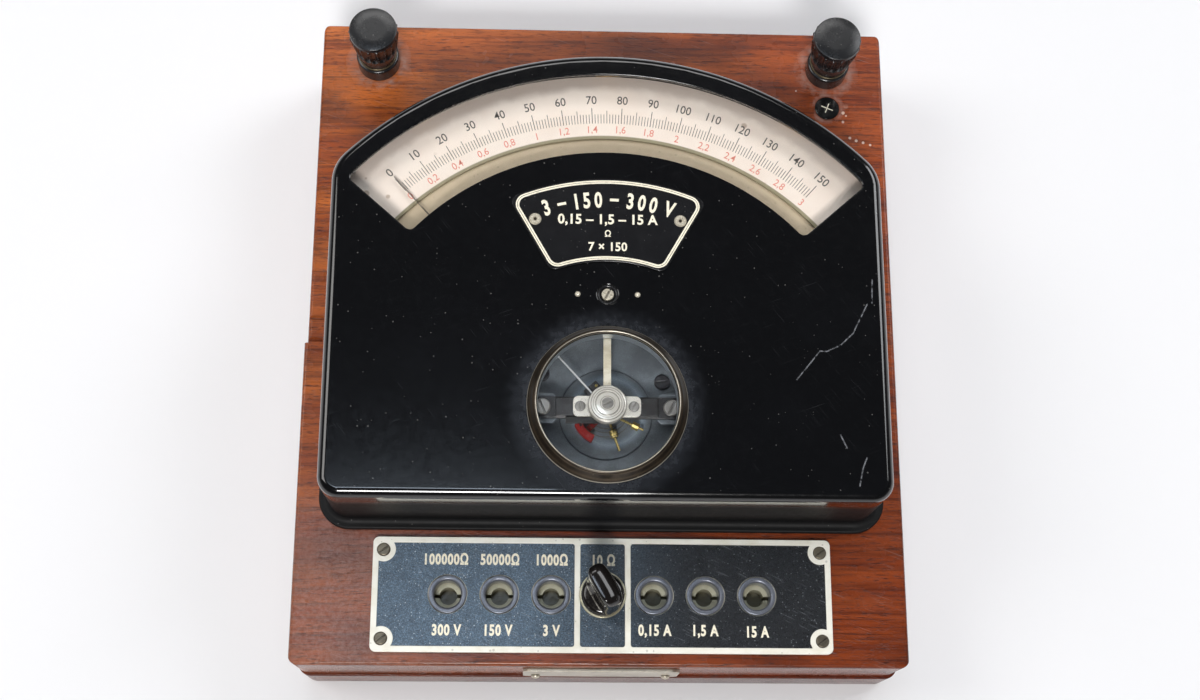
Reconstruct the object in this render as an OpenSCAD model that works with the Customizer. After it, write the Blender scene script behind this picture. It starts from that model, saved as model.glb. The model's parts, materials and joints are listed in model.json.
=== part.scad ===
// Portable moving-coil voltammeter in a wooden case, all sizes in millimetres.
// The object stands on z = 0, centred on x = 0 and y = 0, with its front towards -Y.

/* [Case] */
// Wood left free on each side of the cover
side_margin = 10.3; // [8:0.1:20]
// Wood left free behind the cover's flange
back_margin = 25.05; // [22:0.05:40]
// Height of the case above the plinth, top board included
rim_h = 26; // [22:0.5:34]
// Height of the plinth
plinth_h = 20; // [16:0.5:30]
// How far the plinth stands out past the case
plinth_out = 1.1; // [1.1:0.1:2.5]
// Thickness of the case walls
wall_t = 9; // [8:0.5:9.5]
// Thickness of the top board
top_t = 12; // [11:0.5:15]
// Thickness of the bottom board
bottom_t = 4; // [3:0.5:6]
// Plan radius of the case corners
case_corner_r = 3.4; // [3:0.2:6]
// Radius of the rounded upper edges
case_edge_r = 1.4; // [1:0.2:3]
// How much wider the front part of the case is on the left
front_step = 1.1; // [0.4:0.1:1.1]
// Distance from the movement axis back to the end of that wider part
step_at = 30.4; // [24:0.2:34]
// Width of the V-grooves across the left edge of the top
groove_w = 1.1; // [0.6:0.1:1.6]
// Distance between the two V-grooves
groove_pitch = 7.8; // [5:0.2:12]
// Width of the rebate that holds the bottom board
rebate_w = 7; // [6:0.5:8]

/* [Keeper plate] */
// Length of the keeper plate on the front
keeper_w = 52; // [40:1:70]
// Height of the keeper plate
keeper_h = 17; // [12:0.5:18]
// Thickness of the keeper plate
keeper_t = 1.2; // [0.8:0.1:2]
// Distance from its screws to its ends
keeper_screw_in = 4.2; // [3:0.1:10]
// Distance from its upper edge to the top of the case
keeper_drop = 5; // [3:0.5:9]
// Radius of its domed screw heads
keeper_head_r = 1.5; // [1.2:0.1:2.2]

/* [Cover] */
// Half width of the cover's walls
cover_half_w = 91; // [88:0.5:93]
// Distance from the movement axis to the cover's front wall
cover_reach = 30.6; // [30:0.2:34]
// Distance from the arc window to the cover's back wall
cover_back = 7.6; // [6.2:0.1:9]
// Height of the cover's top above the movement's clamp plate
cover_clear = 3.7; // [3.5:0.1:9]
// Sheet thickness of the cover
cover_t = 1.6; // [1.2:0.1:1.8]
// Radius of the rolled upper edge
cover_edge_r = 3; // [2.6:0.2:5.4]
// Radius of the two front corners
cover_corner_r = 7; // [6.4:0.2:9]
// Radius where the back arc meets the sides
shoulder_r = 14; // [10:0.5:18]
// Width of the foot flange round the cover
flange_w = 3.6; // [2.5:0.1:5]
// Thickness of the foot flange
flange_t = 2; // [1.6:0.1:3]
// Gap between the flange and the range panel
cover_gap = 2.4; // [1:0.1:6]

/* [Scale window] */
// How far the window opens inwards from the inner ends of the division lines
window_in = 14.1; // [12:0.1:15]
// How far the window opens outwards from there
window_out = 14.1; // [12:0.1:14.6]
// Distance from the window's outer corners to the cover's sides
window_side = 5.45; // [4.2:0.05:6]
// Corner radius of the arc window
window_corner_r = 2.2; // [1:0.1:4]
// Thickness of the arc glass
arc_glass_t = 1.8; // [1.4:0.1:2.2]
// Margin of the arc glass round the window
glass_lap = 2.1; // [1.6:0.1:2.1]

/* [Scale] */
// Radius of the inner ends of the division lines
scale_r = 100.3; // [97:0.1:104]
// Half angle of the graduated arc
scale_half = 41.9; // [38:0.1:42.5]
// Width of the paper scale plate inside the inner ends of the division lines
scale_in = 5.6; // [5:0.1:7]
// Width of the scale plate outside them
scale_out = 17.3; // [16.6:0.1:17.8]
// Thickness of the scale plate
scale_t = 1; // [0.6:0.1:1.4]
// Thickness of the mirror strip
mirror_t = 1.6; // [1.2:0.1:2]
// Width of the mirror strip and its carrier inside the ends of the division lines
mirror_in = 18.3; // [17:0.1:20]
// Thickness of the carrier plate
carrier_t = 1.6; // [1:0.1:2.5]

/* [Round window] */
// Outer radius of the bezel
bezel_r = 25.7; // [25.4:0.1:28]
// Inner radius of the bezel's upper edge
bezel_mouth_r = 22.5; // [21.5:0.1:22.8]
// Height of the bezel above the cover
bezel_h = 4.6; // [4:0.1:7]
// Thickness of the round glass
round_glass_t = 1.9; // [1.4:0.1:2.2]

/* [Name plate] */
// Distance from the adjusting screw to the name plate's inner edge
plate_in_gap = 11; // [8:0.2:15]
// Distance from the name plate's outer edge to the arc window
plate_out_gap = 9.7; // [6:0.1:14]
// Half angle between its slanted sides
plate_half = 29.8; // [20:0.2:34]
// Distance from the movement axis to the point where its sides would meet
plate_apex = 12; // [0:0.5:20]
// Corner radius of the name plate
plate_corner_r = 3; // [1:0.2:5]
// Thickness of the name plate
plate_t = 0.7; // [0.4:0.1:1.2]
// Distance from its two eyelets to its outer edge
eyelet_in = 10.1; // [6:0.1:14]
// Bearing of the eyelets
eyelet_half = 21; // [14:0.2:23]

/* [Zero adjuster] */
// Distance from the movement axis to the adjusting screw
adjust_at = 36.6; // [34:0.2:40]
// Radius of the adjusting screw's head
adjust_r = 1.95; // [1.6:0.05:2.4]
// Throw of its eccentric pin
adjust_throw = 0.8; // [0.5:0.1:0.8]
// Distance from the screw to each rivet beside it
adjust_rivet_x = 9.7; // [7:0.1:12]
// Width of the adjusting lever
lever_w = 2.5; // [2.2:0.1:3.5]

/* [Movement] */
// Radius of the core
core_r = 12.6; // [11.5:0.1:13]
// Width of the air gap between core and pole shoes
air_gap = 2.9; // [2.7:0.1:3.2]
// Height of the pole shoes
shoe_h = 16.6; // [16:0.1:18]
// Half width of the horseshoe magnet
magnet_half_w = 40; // [38:0.5:46]
// Thickness of the magnet's legs
magnet_leg = 15; // [12:0.5:17]
// Radius of the shield plate
shield_r = 29; // [28:0.5:32]
// Thickness of the shield plate
shield_t = 1.4; // [1:0.1:2]
// Thickness of the coil's winding
coil_wall = 1.3; // [1:0.1:1.6]
// Length of the coil's sides along the gap
coil_side_w = 5; // [3:0.2:6]
// How far the pointer's tip reaches past the inner ends of the division lines
pointer_past = 6.1; // [4:0.1:6.5]
// Radius of the pointer's tube
pointer_tube_r = 0.5; // [0.35:0.05:0.6]
// Half width of the black bridge bar
bridge_half_w = 3.05; // [2.5:0.05:3.2]
// Distance from the bridge pillars to the shield plate's edge
pillar_in = 8.2; // [7:0.1:9]
// Radius of the jewel hub
hub_r = 6.2; // [5:0.1:7]
// Outer radius of the upper hairspring
spring_r = 8.9; // [7.5:0.1:9.2]
// Turns of each hairspring
spring_turns = 5; // [3:1:6]
// Wire radius of the hairsprings
spring_wire_r = 0.25; // [0.15:0.05:0.3]

/* [Range panel] */
// Width of the range panel
panel_w = 151.8; // [148:0.2:170]
// Depth of the range panel
panel_d = 37.8; // [36:0.2:40]
// Thickness of the range panel
panel_t = 1.5; // [1:0.1:2.5]
// Gap between the panel and the front edge of the case
panel_margin = 4.25; // [3:0.05:8]
// Width of the bare metal frame round the black fields
panel_border = 2; // [1.2:0.1:3]
// Width of the middle field
mid_field_w = 14.7; // [13:0.1:15]
// Width of the bars between the fields
field_bar = 1.95; // [1:0.05:2.4]
// Depth of the enamel in the fields
enamel_t = 0.35; // [0.2:0.05:0.6]
// Distance from the panel's screws to its short edges
panel_screw_in_x = 3.5; // [3.3:0.1:6]
// Distance from the panel's screws to its long edges
panel_screw_in_y = 4.3; // [4:0.1:6]
// Radius of the panel's screw heads
panel_head_r = 2.15; // [1.6:0.05:2.3]
// Number of sockets
socket_count = 7; // [3:2:7]
// Distance between sockets
socket_pitch = 17; // [16.4:0.1:18]
// Outer radius of a socket bush
bush_r = 6.2; // [5.5:0.1:6.4]
// Bore radius of a socket bush
bush_bore_r = 4.5; // [4:0.1:4.8]
// Bore radius of the contacts below a bush
contact_bore_r = 2.9; // [2.7:0.05:3.1]
// Width of the slot between contacts
contact_slot = 1.2; // [0.8:0.1:1.4]

/* [Range plug] */
// Radius of the plug's metal collar
collar_r = 7.7; // [7.2:0.1:8.2]
// Thickness of the plug's metal collar
collar_t = 1.2; // [0.8:0.1:2]
// Radius of the grip's round foot
grip_r = 7.1; // [6.4:0.1:7.2]
// Height of the thumb fin above the grip's foot
fin_h = 23; // [9:0.5:26]
// Thickness of the thumb fin
fin_t = 7.2; // [4.6:0.1:7.4]
// Bearing of the thumb fin
fin_turn = 30; // [0:1:45]

/* [Binding posts] */
// Distance from the posts to the sides of the case
post_side = 20.4; // [18:0.2:24]
// Distance from the posts to the back edge of the case
post_back = 14.5; // [13:0.1:18]
// Radius of a knob over its ribs
knob_r = 8.7; // [8.2:0.1:9.2]
// How much narrower a knob is at its foot
knob_taper = 1.8; // [1:0.1:2.2]
// Radius of the insulating base of a post
post_base_r = 7.55; // [6.5:0.05:9]
// Height of the insulating base
post_base_h = 6.5; // [4:0.1:9]
// Length of a knob
knob_h = 18.2; // [16:0.2:22]
// Number of flutes in a knob
flutes = 18; // [12:1:20]
// Radius of a flute
flute_r = 1.15; // [0.8:0.05:1.25]
// Radius of the threaded stud
stud_r = 2; // [1.5:0.05:2.4]
// Radius of the polarity disc
polarity_r = 4.4; // [3.4:0.1:5.5]
// Distance from the right post to the polarity disc
polarity_drop = 15; // [13.5:0.1:20]

/* [Hidden] */
$fn = 64;

// Clearance between pieces of one body that are screwed or pushed together
fit_gap = 0.05;
// Radial clearance of a piece that turns or slides in a bore
run_gap = 0.06;
// Gap between flat faces of pieces that move past each other
face_gap = 0.05;
// How far a cutter runs past the face that it cuts
cut = 1;

// Radii about the movement axis
window_r1 = scale_r - window_in;
window_r2 = scale_r + window_out;
window_half = asin((cover_half_w - window_side) / window_r2);
cover_arc_r = window_r2 + cover_back;
scale_inner_r = scale_r - scale_in;
scale_outer_r = scale_r + scale_out;
mirror_r = scale_r - mirror_in;
mirror_lap = 3;
paper_half = window_half + 4;
pointer_len = scale_r + pointer_past;
plate_r1 = adjust_at + plate_in_gap;
plate_r2 = window_r1 - plate_out_gap;
eyelet_at = plate_r2 - eyelet_in;
pillar_at = shield_r - pillar_in;
coil_half_w = core_r + (air_gap + coil_wall) / 2;

// Plan of the case
keeper_dome = 1.3;
case_w = 2 * (cover_half_w + side_margin);
case_d = panel_margin + panel_d + cover_gap + flange_w + cover_reach + cover_arc_r + flange_w + back_margin;
case_cy = (keeper_t + keeper_dome - plinth_out) / 2;
front_y = case_cy - case_d / 2;
back_y = case_cy + case_d / 2;
top_z = plinth_h + rim_h;
board_z = top_z - top_t;
panel_cy = front_y + panel_margin + panel_d / 2;
axis_y = front_y + panel_margin + panel_d + cover_gap + flange_w + cover_reach;
step_y = axis_y + step_at;
keeper_z = top_z - keeper_drop - keeper_h / 2;
keeper_corner_r = 3;
groove_gap = 1.5;
head_sink = 1.2;

// Heights of the movement above the wood
base_plate_t = 3;
lower_spring_h = base_plate_t + 2.3;
shoe_z = base_plate_t + 3;
magnet_z = shoe_z + 1;
magnet_h = shoe_h - 2.6;
shoe_top = shoe_z + shoe_h;
shield_top = shoe_top + shield_t;
coil_z = shoe_z + 1.6;
coil_top = shoe_top - 0.6;
core_gap = 0.7;
core_z = coil_z + coil_wall + core_gap;
core_top = coil_top - coil_wall - core_gap;
core_arm_h = 4;
core_arm_z = (core_z + core_top - core_arm_h) / 2;
arm_h = shield_top + 2.8;
arm_half = 23;
spring_h = arm_h + 2.3;
pointer_h = spring_h + 2.1;
bridge_z = pointer_h + 1;
bridge_t = 2;
bridge_foot_t = 1.2;
clamp_t = 0.8;
clamp_w = 21.8;
clamp_screw_at = 8.6;
clamp_top = bridge_z + bridge_t + clamp_t;
lever_t = 0.6;
lever_z = clamp_top + face_gap;
hub_z = clamp_top + lever_t + 2 * face_gap;
hub_h = 3.5;
hub_bush_r = 2.6;
pivot_r = 0.5;
spindle_r = 0.8;
collet_r = 1.5;
spring_end = 240;
rest_bearing = -scale_half;
tail_bearing = rest_bearing + 180;
scale_top = pointer_h - 1.6;
mirror_top = scale_top - scale_t;
mirror_z = mirror_top - mirror_t;
carrier_z = mirror_z - carrier_t;

// Plan of the movement
magnet_front = -22;
magnet_bend = 22;
base_front = magnet_front - 2;
base_back = magnet_bend + 18;
magnet_in = magnet_half_w - magnet_leg;
shoe_split = 8;
shoe_half_l = 17;
core_bore_r = 3;
core_arm_w = 5;
pillar_r = 2.6;
pillar_lug_r = 6;
bridge_screw_r = 1.3;
shield_screw_r = 1.2;
clamp_screw_r = 0.8;
jewel_screw_r = 0.9;
jewel_screw_l = 0.6;
lower_jewel_r = 2.5;
pin_bearing = 18;
pin_at = 8.4;
pin_r = 0.5;
pointer_root = 3;
foot_drop = 0.9;
shield_screw_spots = [[18.4, 11], [-21, 13.4], [-18, -15]];
scale_pillar_r = 3;
scale_pillar_in = 5.6;

// Cover and windows
cover_h = clamp_top + cover_clear;
cover_in = cover_h - cover_t;
shoulder_y = sqrt(pow(cover_arc_r - shoulder_r, 2) - pow(cover_half_w - shoulder_r, 2));
arc_half = asin((cover_half_w - shoulder_r) / (cover_arc_r - shoulder_r));
inside_gap = 0.9;
inside_half_w = cover_half_w - cover_t - inside_gap;
bezel_bore_r = bezel_mouth_r - 0.2;
bezel_spigot_r = bezel_mouth_r + 0.9;
bezel_ring_t = 0.9;
bezel_ring_w = 3.4;
glass_groove = 0.75;
glass_seat = cover_h + 1.9;
clip_w = 8;
clip_t = 0.8;
clip_lap = 1.2;
clip_foot_in = 3.7;
clip_leg_h = 4;
clip_gap_in = 0.3;
clip_gap_out = 0.1;
eyelet_hole_r = 1.1;
rivet_r = 0.6;
rivet_head_r = 0.95;
bush_wall = 1.35;
bush_hole_r = adjust_r + bush_wall;
adjust_stem_r = 1.3;
adjust_pin_r = 0.4;
lug_size = 9;
lug_h = 8;
lug_screw_depth = 7;
lug_x = cover_half_w - cover_t - lug_size / 2;
lug_front_in = 11;
lug_front_y = lug_front_in - cover_reach;
lug_back_y = 58;
screw_r = 1.5;

// Sockets and plug
panel_screw_x = panel_w - 2 * panel_screw_in_x;
panel_screw_y = panel_d - 2 * panel_screw_in_y;
panel_head_sink = 0.8;
panel_screw_l = 5;
field_corner_r = 0.8;
field_notch = 1.9;
enamel_gap = 0.35;
socket_half = (socket_count - 1) / 2;
socket_top = panel_t + 0.4;
trough_depth = 9.5;
contact_h = 5.5;
contact_top = contact_h - trough_depth;
contact_half_y = 7.6;
contact_half_x = 6.6;
plug_pin_r = contact_bore_r - run_gap;
grip_foot_h = 2.4;
plug_z = socket_top + face_gap;
tang_h = 5;
tang_r = 2;

// Binding posts and wiring
post_x = case_w / 2 - post_side;
post_y = back_y - post_back;
washer_t = 0.8;
washer_z = post_base_h + face_gap;
knob_z = washer_z + washer_t + face_gap;
stud_top = knob_z + 11;
flute_depth = 0.7;
nut_h = 3.2;
strap_t = 0.6;
strap_w = 6;
strap_lane = 14.9;
strap_gap = 4;
polarity_y = post_y - polarity_drop;
polarity_sink = 2;
polarity_proud = 0.1;
bobbin_r = 10;
bobbin_core_r = 8.6;
bobbin_h = 14.5;
bobbin_flange = 1.5;
bobbin_hole_r = 2;
bobbin_x = 40;
bobbin_rows = [-40, 15];

// Point at a compass bearing about the movement axis, 0 along +Y and clockwise
function at_bearing(b, r) = [r * sin(b), r * cos(b)];
function arc_points(c, r, b0, b1, n) = [for (i = [0:n]) c + at_bearing(b0 + (b1 - b0) * i / n, r)];
function mirror_x(p) = [for (i = [len(p) - 1:-1:0]) [-p[i][0], p[i][1]]];

// Centre of a corner circle that touches a slanted side and lies rho from the axis
function corner_centre(rho, cr, half, apex) =
    let (start = [-cr * cos(half), apex + cr * sin(half)], way = [sin(half), cos(half)])
    let (b = start * way, c = start * start - rho * rho)
    start + (sqrt(b * b - c) - b) * way;

// Outline between two arcs about the axis with straight slanted ends and round corners
function sector_points(r1, r2, half, cr, apex = 0) =
    let (outer = corner_centre(r2 - cr, cr, half, apex), inner = corner_centre(r1 + cr, cr, half, apex))
    let (outer_b = atan2(outer[0], outer[1]), inner_b = atan2(inner[0], inner[1]))
    let (right = concat(arc_points([0, 0], r2, 0, outer_b, 24),
        arc_points(outer, cr, outer_b + 15, 75 + half, 4),
        arc_points(inner, cr, 90 + half, 180 + inner_b, 5),
        arc_points([0, 0], r1, inner_b - 2, 0, 22)))
    concat(right, mirror_x(right));

// Flat spiral from r0 to r1 that ends at a bearing, 8 points to a turn
function spiral_points(r0, r1, turns, end_b) = [for (i = [0:turns * 8])
    at_bearing(end_b - (turns * 8 - i) * 45, r0 + (r1 - r0) * i / (turns * 8))];
function spiral_gap(p, wire_r) = min([for (i = [0:len(p) - 9])
    norm(p[i] - p[i + 8]) * cos(22.5) - 2 * wire_r]);

module at_axis() {
    translate([0, axis_y, top_z]) children();
}

module ring(r_out, r_in, h) {
    difference() {
        cylinder(r = r_out, h = h);
        translate([0, 0, -cut]) cylinder(r = r_in, h = h + 2 * cut);
    }
}

module round_rect(w, d, r) {
    square([w - 2 * r, d], center = true);
    square([w, d - 2 * r], center = true);
    for (x = [-1, 1], y = [-1, 1])
        translate([x * (w / 2 - r), y * (d / 2 - r)]) circle(r = r);
}

module round_top(w, h, r) {
    translate([-w / 2, 0]) square([w, h - r]);
    translate([r - w / 2, 0]) square([w - 2 * r, h]);
    for (x = [-1, 1])
        translate([x * (w / 2 - r), h - r]) circle(r = r);
}

module rounded_board(w, d, h) {
    intersection() {
        linear_extrude(h) round_rect(w, d, case_corner_r);
        rotate([90, 0, 0]) linear_extrude(d + 2 * cut, center = true) round_top(w, h, case_edge_r);
        rotate([90, 0, 90]) linear_extrude(w + 2 * cut, center = true) round_top(d, h, case_edge_r);
    }
}

module case_plan(grow = 0) {
    round_rect(case_w + 2 * grow, case_d + 2 * grow, case_corner_r + grow);
}

module stepped_plan() {
    case_plan();
    intersection() {
        translate([-front_step / 2, 0]) round_rect(case_w + front_step, case_d, case_corner_r);
        translate([-case_w, -case_d]) square([2 * case_w, case_d + step_y - case_cy]);
    }
}

// Slotted screw, its head from z = 0 up and its shank below
module slotted_screw(head_r, head_h, shank_r, shank_l, slot_w, turn = 0) {
    difference() {
        union() {
            rotate_extrude() polygon([[0, 0], [head_r, 0], [head_r, head_h * 0.6],
                [head_r * 0.86, head_h], [0, head_h]]);
            translate([0, 0, -shank_l]) cylinder(r = shank_r, h = shank_l + head_h / 2);
        }
        rotate([0, 0, turn]) translate([0, 0, head_h]) cube([3 * head_r, slot_w, head_h], center = true);
    }
}

module tube(points, wire_r, z) {
    n = len(points);
    sides = 6;
    way = [for (i = [0:n - 1]) points[min(i + 1, n - 1)] - points[max(i - 1, 0)]];
    side = [for (w = way) [w[1], -w[0]] / norm(w)];
    rings = [for (i = [0:n - 1], k = [0:sides - 1])
        let (out = wire_r * cos(k * 360 / sides), up = wire_r * sin(k * 360 / sides))
        [points[i][0] + side[i][0] * out, points[i][1] + side[i][1] * out, z + up]];
    skin = [for (i = [0:n - 2], k = [0:sides - 1]) each
        let (a = i * sides + k, b = i * sides + (k + 1) % sides)
        [[a, b, b + sides], [a, b + sides, a + sides]]];
    caps = [for (k = [1:sides - 2]) each
        [[0, k + 1, k], [(n - 1) * sides, (n - 1) * sides + k, (n - 1) * sides + k + 1]]];
    polyhedron(points = rings, faces = concat(skin, caps));
}

// Wooden case

module case_top() {
    color("saddlebrown") difference() {
        translate([0, case_cy, board_z]) union() {
            rounded_board(case_w, case_d, top_t);
            intersection() {
                translate([-front_step / 2, 0, 0]) rounded_board(case_w + front_step, case_d, top_t);
                translate([-case_w, -case_d, 0]) cube([2 * case_w, case_d + step_y - case_cy, top_t]);
            }
        }
        for (k = [0, 1])
            translate([-case_w / 2, step_y + groove_w + k * groove_pitch, top_z])
                rotate([45, 0, 0]) cube([2 * (side_margin - flange_w - groove_gap), groove_w, groove_w],
                    center = true);
        translate([0, panel_cy, top_z - trough_depth])
            linear_extrude(trough_depth + cut)
                square([2 * (socket_half * socket_pitch + contact_half_x + fit_gap),
                    2 * (contact_half_y + fit_gap)], center = true);
        for (x = [-1, 1]) {
            translate([x * post_x, post_y, board_z - cut])
                cylinder(r = stud_r + fit_gap, h = top_t + 2 * cut);
            for (y = [lug_front_y, lug_back_y])
                translate([x * lug_x, axis_y + y, board_z - cut])
                    cylinder(r = screw_r + fit_gap, h = top_t + 2 * cut);
        }
        panel_screw_places() translate([0, 0, -panel_screw_l - 2])
            cylinder(r = panel_head_r / 2 + fit_gap, h = panel_screw_l + 2 + cut);
        translate([post_x, polarity_y, top_z - polarity_sink])
            cylinder(r = polarity_r + fit_gap, h = polarity_sink + cut);
    }
}

module case_sides() {
    color("sienna") translate([0, case_cy, plinth_h]) difference() {
        linear_extrude(board_z - plinth_h) stepped_plan();
        translate([0, 0, -cut]) linear_extrude(board_z - plinth_h + 2 * cut)
            square([case_w - 2 * wall_t, case_d - 2 * wall_t], center = true);
    }
}

module plinth() {
    color("saddlebrown") translate([0, case_cy, 0]) difference() {
        linear_extrude(plinth_h) case_plan(plinth_out);
        translate([0, 0, -cut]) linear_extrude(plinth_h + 2 * cut)
            square([case_w - 2 * wall_t, case_d - 2 * wall_t], center = true);
        translate([0, 0, -cut]) linear_extrude(bottom_t + cut)
            square([case_w - 2 * wall_t + 2 * rebate_w, case_d - 2 * wall_t + 2 * rebate_w], center = true);
        bottom_screw_places() cylinder(r = screw_r + fit_gap, h = bottom_t + 9);
    }
}

module bottom_screw_places() {
    for (x = [-1, 1], y = [-1, 0, 1])
        translate([x * (case_w / 2 - wall_t + rebate_w / 2), y * (case_d / 2 - wall_t - 6), 0]) children();
}

module bottom_board() {
    color("peru") translate([0, case_cy, 0]) difference() {
        linear_extrude(bottom_t)
            square([case_w - 2 * (wall_t - rebate_w + fit_gap), case_d - 2 * (wall_t - rebate_w + fit_gap)],
                center = true);
        bottom_screw_places() {
            translate([0, 0, -cut]) cylinder(r = screw_r + fit_gap, h = bottom_t + 2 * cut);
            translate([0, 0, -cut]) cylinder(r = 2 * screw_r - fit_gap, h = head_sink + cut);
        }
    }
}

module bottom_screws() {
    color("dimgray") translate([0, case_cy, 0]) bottom_screw_places()
        translate([0, 0, head_sink]) rotate([180, 0, 0])
            slotted_screw(2 * screw_r - 2 * fit_gap, head_sink - 0.1, screw_r, bottom_t + 6, 0.6, 30);
}

module keeper_plate() {
    color("lightgray") translate([0, front_y, keeper_z]) rotate([90, 0, 0]) difference() {
        linear_extrude(keeper_t) round_rect(keeper_w, keeper_h, keeper_corner_r);
        keeper_screw_places() translate([0, 0, -cut])
            cylinder(r = keeper_head_r / 2 + fit_gap, h = keeper_t + 2 * cut);
    }
}

module keeper_screw_places() {
    for (x = [-1, 1])
        translate([x * (keeper_w / 2 - keeper_screw_in), -keeper_h / 5, 0]) children();
}

module keeper_screws() {
    color("gainsboro") translate([0, front_y - keeper_t, keeper_z]) rotate([90, 0, 0]) keeper_screw_places() {
        difference() {
            intersection() {
                translate([0, 0, keeper_dome - keeper_head_r * 1.2]) sphere(r = keeper_head_r * 1.2);
                cylinder(r = keeper_head_r, h = 2 * keeper_head_r);
            }
            rotate([0, 0, 20]) translate([0, 0, keeper_dome])
                cube([4 * keeper_head_r, 0.5, 0.9], center = true);
        }
        translate([0, 0, -keeper_t]) cylinder(r = keeper_head_r / 2, h = keeper_t);
    }
}

// Cover

// Outline of the cover, moved outwards by grow, from the back round to the front on each side
function cover_outline(grow) =
    let (shoulder = [cover_half_w - shoulder_r, shoulder_y],
        corner = [cover_half_w - cover_corner_r, cover_corner_r - cover_reach])
    let (right = concat(arc_points([0, 0], cover_arc_r + grow, 1.5, arc_half, 14),
        arc_points(shoulder, shoulder_r + grow, arc_half + 8, 90, 5),
        arc_points(corner, cover_corner_r + grow, 90, 180, 7)))
    concat(right, mirror_x(right));

// Section of the wall: x outwards from its outer face, y up
function wall_profile() =
    let (round = 0.8, fillet = 1.2, roll = [-cover_edge_r, cover_h - cover_edge_r])
    concat([[-cover_t, 0], [flange_w, 0]],
        arc_points([flange_w - round, flange_t - round], round, 90, 0, 3),
        arc_points([fillet, flange_t + fillet], fillet, 180, 270, 3),
        arc_points(roll, cover_edge_r, 90, 0, 8),
        arc_points(roll, cover_edge_r - cover_t, 0, 90, 6));

// Closed ring with the wall's section all along the outline
module cover_wall() {
    section = wall_profile();
    loops = [for (p = section) cover_outline(p[0])];
    m = len(section);
    n = len(loops[0]);
    points = [for (j = [0:m - 1], q = loops[j]) [q[0], q[1], section[j][1]]];
    faces = [for (j = [0:m - 1], i = [0:n - 1]) each
        let (next = (j + 1) % m, a = j * n + i, b = j * n + (i + 1) % n,
            c = next * n + (i + 1) % n, d = next * n + i)
        [[a, b, c], [a, c, d]]];
    polyhedron(points = points, faces = faces);
}

module cover() {
    color([0.06, 0.06, 0.07]) at_axis() {
        difference() {
            union() {
                cover_wall();
                translate([0, 0, cover_in]) linear_extrude(cover_t) polygon(cover_outline(-cover_edge_r));
            }
            translate([0, 0, cover_in - cut]) linear_extrude(cover_t + 2 * cut) {
                polygon(sector_points(window_r1, window_r2, window_half, window_corner_r));
                circle(r = bezel_spigot_r + fit_gap);
                translate([0, adjust_at]) circle(r = bush_hole_r + fit_gap);
                for (x = [-1, 1]) {
                    translate([x * adjust_rivet_x, adjust_at]) circle(r = rivet_r + fit_gap);
                    translate(at_bearing(x * eyelet_half, eyelet_at)) circle(r = eyelet_hole_r + fit_gap);
                }
            }
        }
        for (x = [-1, 1], y = [lug_front_y, lug_back_y])
            translate([x * lug_x, y, 0]) difference() {
                translate([-lug_size / 2, -lug_size / 2, 0]) cube([lug_size, lug_size, lug_h]);
                translate([0, 0, -cut]) cylinder(r = screw_r + fit_gap, h = lug_screw_depth + cut);
            }
    }
}

module cover_screws() {
    color("silver") at_axis()
        for (x = [-1, 1], y = [lug_front_y, lug_back_y])
            translate([x * lug_x, y, -top_t]) rotate([180, 0, 0])
                slotted_screw(2 * screw_r, 1.8, screw_r, top_t + lug_screw_depth - 1, 0.7, 40);
}

// Arc window

module inside_limit(inset = 0) {
    translate([inset - inside_half_w, 0]) square([2 * (inside_half_w - inset), 2 * cover_arc_r]);
}

module arc_glass() {
    color([0.8, 0.88, 0.9, 0.3]) at_axis()
        translate([0, 0, cover_in - arc_glass_t]) linear_extrude(arc_glass_t)
            intersection() {
                polygon(sector_points(window_r1 - glass_lap, window_r2 + glass_lap, window_half + 3.4, 1));
                inside_limit(cover_edge_r - cover_t - inside_gap);
            }
}

module glass_clips() {
    inner_r = window_r1 - glass_lap - fit_gap - clip_gap_in;
    wall_r = cover_arc_r - cover_t - clip_gap_out;
    tongue_r = window_r2 + glass_lap - clip_lap;
    tongue_z = cover_in - arc_glass_t - clip_t;
    color("darkgoldenrod") at_axis() for (b = [-32, 0, 32])
        rotate([0, 0, -b]) {
            translate([-clip_w / 2, inner_r - clip_foot_in, tongue_z]) {
                cube([clip_w, clip_foot_in + clip_gap_in + clip_lap, clip_t]);
                cube([clip_w, clip_foot_in, arc_glass_t + clip_t]);
            }
            translate([-clip_w / 2, tongue_r, tongue_z])
                cube([clip_w, wall_r - clip_gap_in - tongue_r, clip_t]);
            translate([-clip_w / 2, wall_r - clip_t, tongue_z - clip_leg_h])
                cube([clip_w, clip_t, clip_leg_h + 0.1]);
        }
}

// Round window

module bezel() {
    groove_r = bezel_mouth_r + glass_groove;
    groove_top = glass_seat + round_glass_t + fit_gap;
    top = cover_h + bezel_h;
    color([0.32, 0.25, 0.17]) at_axis() rotate_extrude() polygon([
        [bezel_bore_r, cover_in - bezel_ring_t], [bezel_spigot_r, cover_in - bezel_ring_t],
        [bezel_spigot_r, cover_h], [bezel_r, cover_h], [bezel_r, cover_h + 0.7],
        [bezel_mouth_r + 1.05, top - 0.25], [bezel_mouth_r + 0.6, top], [bezel_mouth_r + 0.15, top],
        [bezel_mouth_r, top - 0.2], [bezel_mouth_r, groove_top], [groove_r, groove_top],
        [groove_r, glass_seat], [bezel_bore_r, glass_seat]]);
}

module round_glass() {
    color([0.8, 0.88, 0.9, 0.3]) at_axis() translate([0, 0, glass_seat])
        cylinder(r = bezel_mouth_r + glass_groove - fit_gap, h = round_glass_t);
}

module bezel_ring() {
    color([0.32, 0.25, 0.17]) at_axis() translate([0, 0, cover_in - bezel_ring_t])
        ring(bezel_spigot_r + bezel_ring_w, bezel_spigot_r + fit_gap, bezel_ring_t);
}

// Name plate, rivets and zero adjuster

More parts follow.
